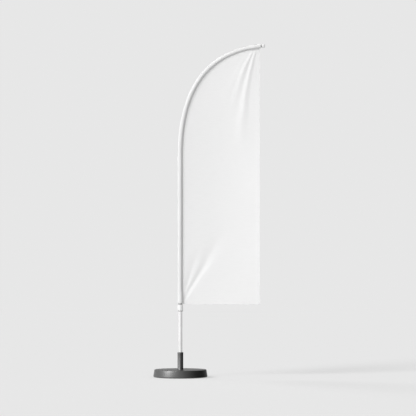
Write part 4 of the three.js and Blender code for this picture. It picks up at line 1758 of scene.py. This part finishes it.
    def stitches(self) -> Piece:
        """All rows of lockstitch, on both faces of the cloth, as one piece.

        Returns:
            The stitching.
        """
        deselect()
        bpy.ops.mesh.primitive_uv_sphere_add(segments=6, ring_count=4, radius=0.5)
        seed = bpy.context.object
        shape = np.array([v.co for v in seed.data.vertices])
        loops = [tuple(p.vertices) for p in seed.data.polygons]
        bpy.data.objects.remove(seed)
        shape = shape[:, [2, 0, 1]] * [self.stitch, self.stitch_thickness, self.stitch_thickness]
        points, faces = [], []
        rows = [self.seam_row(out) for out in self.seam_stitches] + self.hem_rows()
        for row, from_seam in rows:
            run = np.concatenate([[0], np.cumsum(np.linalg.norm(np.diff(row, axis=0), axis=1))])
            for middle in np.arange(self.stitch_pitch / 2, run[-1], self.stitch_pitch):
                at = np.array([middle - self.stitch / 2, middle + self.stitch / 2])
                x, z = (np.interp(at, run, row[:, i]) for i in (0, 1))
                seam = np.interp(at, run, from_seam)
                y = self.lift(x, z, seam)
                half = float(self.half_thickness(x, z, seam).max())
                for face in (-1, 1):
                    a = Vector((x[0], y[0] + face * half, z[0]))
                    b = Vector((x[1], y[1] + face * half, z[1]))
                    turn = np.array(Vector((1, 0, 0)).rotation_difference(b - a).to_matrix())
                    first = len(points) * len(shape)
                    points.append(shape @ turn.T + np.array((a + b) / 2))
                    faces += [tuple(first + n for n in loop) for loop in loops]
        obj = self.mesh_object("flag_stitching", np.concatenate(points), faces)
        make_outward(obj)
        smooth(obj, 80)
        return dress(obj, self.finish["thread"], "pole")

    @staticmethod
    def mesh_object(
        name: str,
        points: np.ndarray,
        faces: Sequence[tuple[int, ...]],
        uvs: Sequence[tuple[float, float]] | None = None,
    ) -> Piece:
        """A mesh object from points and faces, with a UV for each face corner if given.

        Args:
            name: The piece's name.
            points: Its points.
            faces: The point numbers of each face.
            uvs: Where each face corner lies on the cloth, if it is given.

        Returns:
            The piece.
        """
        mesh = bpy.data.meshes.new(name)
        mesh.from_pydata(points.tolist(), [], faces)
        if uvs is not None:
            layer = mesh.uv_layers.new(name="UVMap")
            layer.data.foreach_set("uv", np.array(uvs, float).ravel())
        mesh.update()
        obj = bpy.data.objects.new(name, mesh)
        bpy.context.scene.collection.objects.link(obj)
        return obj

    def face_away(self, obj: Piece) -> None:
        """Flips an open tube whose faces look at the mast.

        Args:
            obj: The tube.
        """
        face = obj.data.polygons[0]
        if face.normal.dot(face.center - Vector((0, 0, face.center.z))) < 0:
            obj.data.flip_normals()


# ---------------------------------------------------------------- studio


@dataclass(frozen=True)
class SoftSun:
    """A wide sun.

    Args:
        name: Its name.
        azimuth: Where it stands, in degrees from -Y towards +X.
        elevation: How high it stands, in degrees.
        power: Its strength.
        width: How wide it looks, in degrees.
    """

    name: str
    azimuth: float
    elevation: float
    power: float
    width: float

    def hang(self) -> Piece:
        """Adds the sun to the scene.

        Returns:
            The sun.
        """
        light = bpy.data.lights.new(self.name, "SUN")
        light.energy = self.power
        light.angle = math.radians(self.width)
        obj = bpy.data.objects.new(self.name, light)
        a, e = math.radians(self.azimuth), math.radians(self.elevation)
        towards = Vector((math.sin(a) * math.cos(e), -math.cos(a) * math.cos(e), math.sin(e)))
        obj.rotation_euler = towards.to_track_quat("Z", "Y").to_euler()
        bpy.context.scene.collection.objects.link(obj)
        return obj


@dataclass
class Studio:
    """A pale floor under a pale sky, soft suns from the left, and a long lens."""

    pale: float = 0.8  # of the backdrop, as linear light
    fill_level: float = 0.1
    fill_above: float = 0.78
    room_left: float = 1.6  # what a shiny piece reflects, from left to right
    room_right: float = 0.0
    room_behind: float = 0.68  # how much of that is left behind the flag
    floor_size: float = 400.0
    floor_colour: str = "dddddd"
    floor_glow: float = 0.5  # share of its light that shines through it, which keeps shadows faint
    glow_start: float = 5.0  # from here outwards the floor glows more and more
    glow_end: float = 14.0
    key: SoftSun = SoftSun("key_sun", -46, 32.0, 2.2, 28)
    back: SoftSun = SoftSun("back_sun", -135, 32.0, 1.05, 28)
    gloss: SoftSun = SoftSun("gloss_sun", -57, 20.0, 1.5, 30)
    lens: float = 261
    sensor: float = 36
    sight: float = 500  # how far the camera sees
    camera_place: tuple[float, float, float] = (0.207, -22.62, 1.269)

    def build(self) -> None:
        """Makes the floor, the sky, the suns and the camera."""
        bpy.context.scene.view_settings.view_transform = "Standard"
        self.floor()
        self.sky()
        self.key.hang()
        self.back.hang().visible_glossy = False
        # seen only in the gloss of dark pieces, as a tall softbox on the left
        self.gloss.hang().visible_diffuse = False
        self.camera()

    def floor(self) -> None:
        """A wide plain floor, matt and with no gloss of its own in the pieces."""
        deselect()
        bpy.ops.mesh.primitive_plane_add(size=self.floor_size, location=(0, 0, 0))
        floor = bpy.context.object
        floor.name = "studio_floor"
        dyed = Dyed("matt_studio_floor", {"Base Color": linear(self.floor_colour),
                                          "Roughness": 1.0, "Specular IOR Level": 0.0})
        # far from the flag the floor glows as evenly as the sky, so that they meet unseen
        reach = dyed.add("VectorMath", "Value", links={0: dyed.place}, operation="LENGTH")
        values = {"From Min": self.glow_start, "From Max": self.glow_end,
                  "To Min": self.floor_glow, "To Max": 1.0}
        far = dyed.add("MapRange", "Result", values, {"Value": reach})
        glow = dyed.add("Emission", 0, {"Strength": self.pale})
        mix = dyed.add("MixShader", 0, links={0: far, 1: dyed.shader.outputs[0], 2: glow})
        dyed.tree.links.new(mix, dyed.tree.nodes["Material Output"].inputs["Surface"])
        floor.data.materials.append(dyed.material)
        floor.visible_glossy = False

    def sky(self) -> None:
        """An even backdrop, an even fill, and a reflected room that darkens to the right."""
        world = bpy.data.worlds.new("studio_sky")
        world.use_nodes = True
        tree = world.node_tree
        tree.nodes.clear()
        direction = add_node(tree, "TexCoord").outputs["Generated"]
        axes = add_node(tree, "SeparateXYZ", links={0: direction}).outputs
        mirrored, behind, overhead = (
            add_node(
                tree,
                "MapRange",
                {"From Min": start, "From Max": end, "To Min": low, "To Max": high},
                {"Value": axes[axis]},
            ).outputs["Result"]
            for axis, start, end, low, high in (
                ("X", -1.0, 1.0, self.room_left, self.room_right),
                ("Y", -0.1, 0.8, 1.0, self.room_behind),
                ("Z", 0.0, 1.0, self.fill_level, self.fill_above),
            )
        )
        links = {0: mirrored, 1: behind}
        mirrored = add_node(tree, "Math", links=links, operation="MULTIPLY").outputs[0]
        white = {"Color": (1, 1, 1, 1)}
        lit = add_node(tree, "Background", white, {"Strength": overhead})
        gloss = add_node(tree, "Background", white, {"Strength": mirrored})
        seen = add_node(tree, "Background", {**white, "Strength": self.pale})
        path = add_node(tree, "LightPath")
        surface = lit.outputs[0]
        for ray, other in (("Is Glossy Ray", gloss), ("Is Camera Ray", seen)):
            links = {0: path.outputs[ray], 1: surface, 2: other.outputs[0]}
            surface = add_node(tree, "MixShader", links=links).outputs[0]
        add_node(tree, "OutputWorld", links={"Surface": surface})
        bpy.context.scene.world = world

    def camera(self) -> None:
        """A level long-lens camera, far off, aimed at the middle of the flag and its foot."""
        data = bpy.data.cameras.new("long_lens")
        data.lens = self.lens
        data.sensor_width = self.sensor
        data.clip_end = self.sight
        obj = bpy.data.objects.new("long_lens", data)
        obj.location = self.camera_place
        obj.rotation_euler = (math.pi / 2, 0, 0)
        bpy.context.scene.collection.objects.link(obj)
        bpy.context.scene.camera = obj


# ---------------------------------------------------------------- the whole


def main() -> None:
    """Builds the studio and every sub-assembly in order."""
    logging.basicConfig(level=logging.INFO, format="%(name)s: %(message)s")
    Studio().build()
    finish = finishes()
    mast = MastLine()
    for assembly in (
        Foot(finish),
        Stem(finish),
        TurningSocket(finish),
        Pole(finish),
        TipCap(finish, mast),
        Collar(finish),
        Flag(finish, mast),
    ):
        log.info("building %s", type(assembly).__name__)
        assembly.build()


if __name__ == "__main__":
    main()
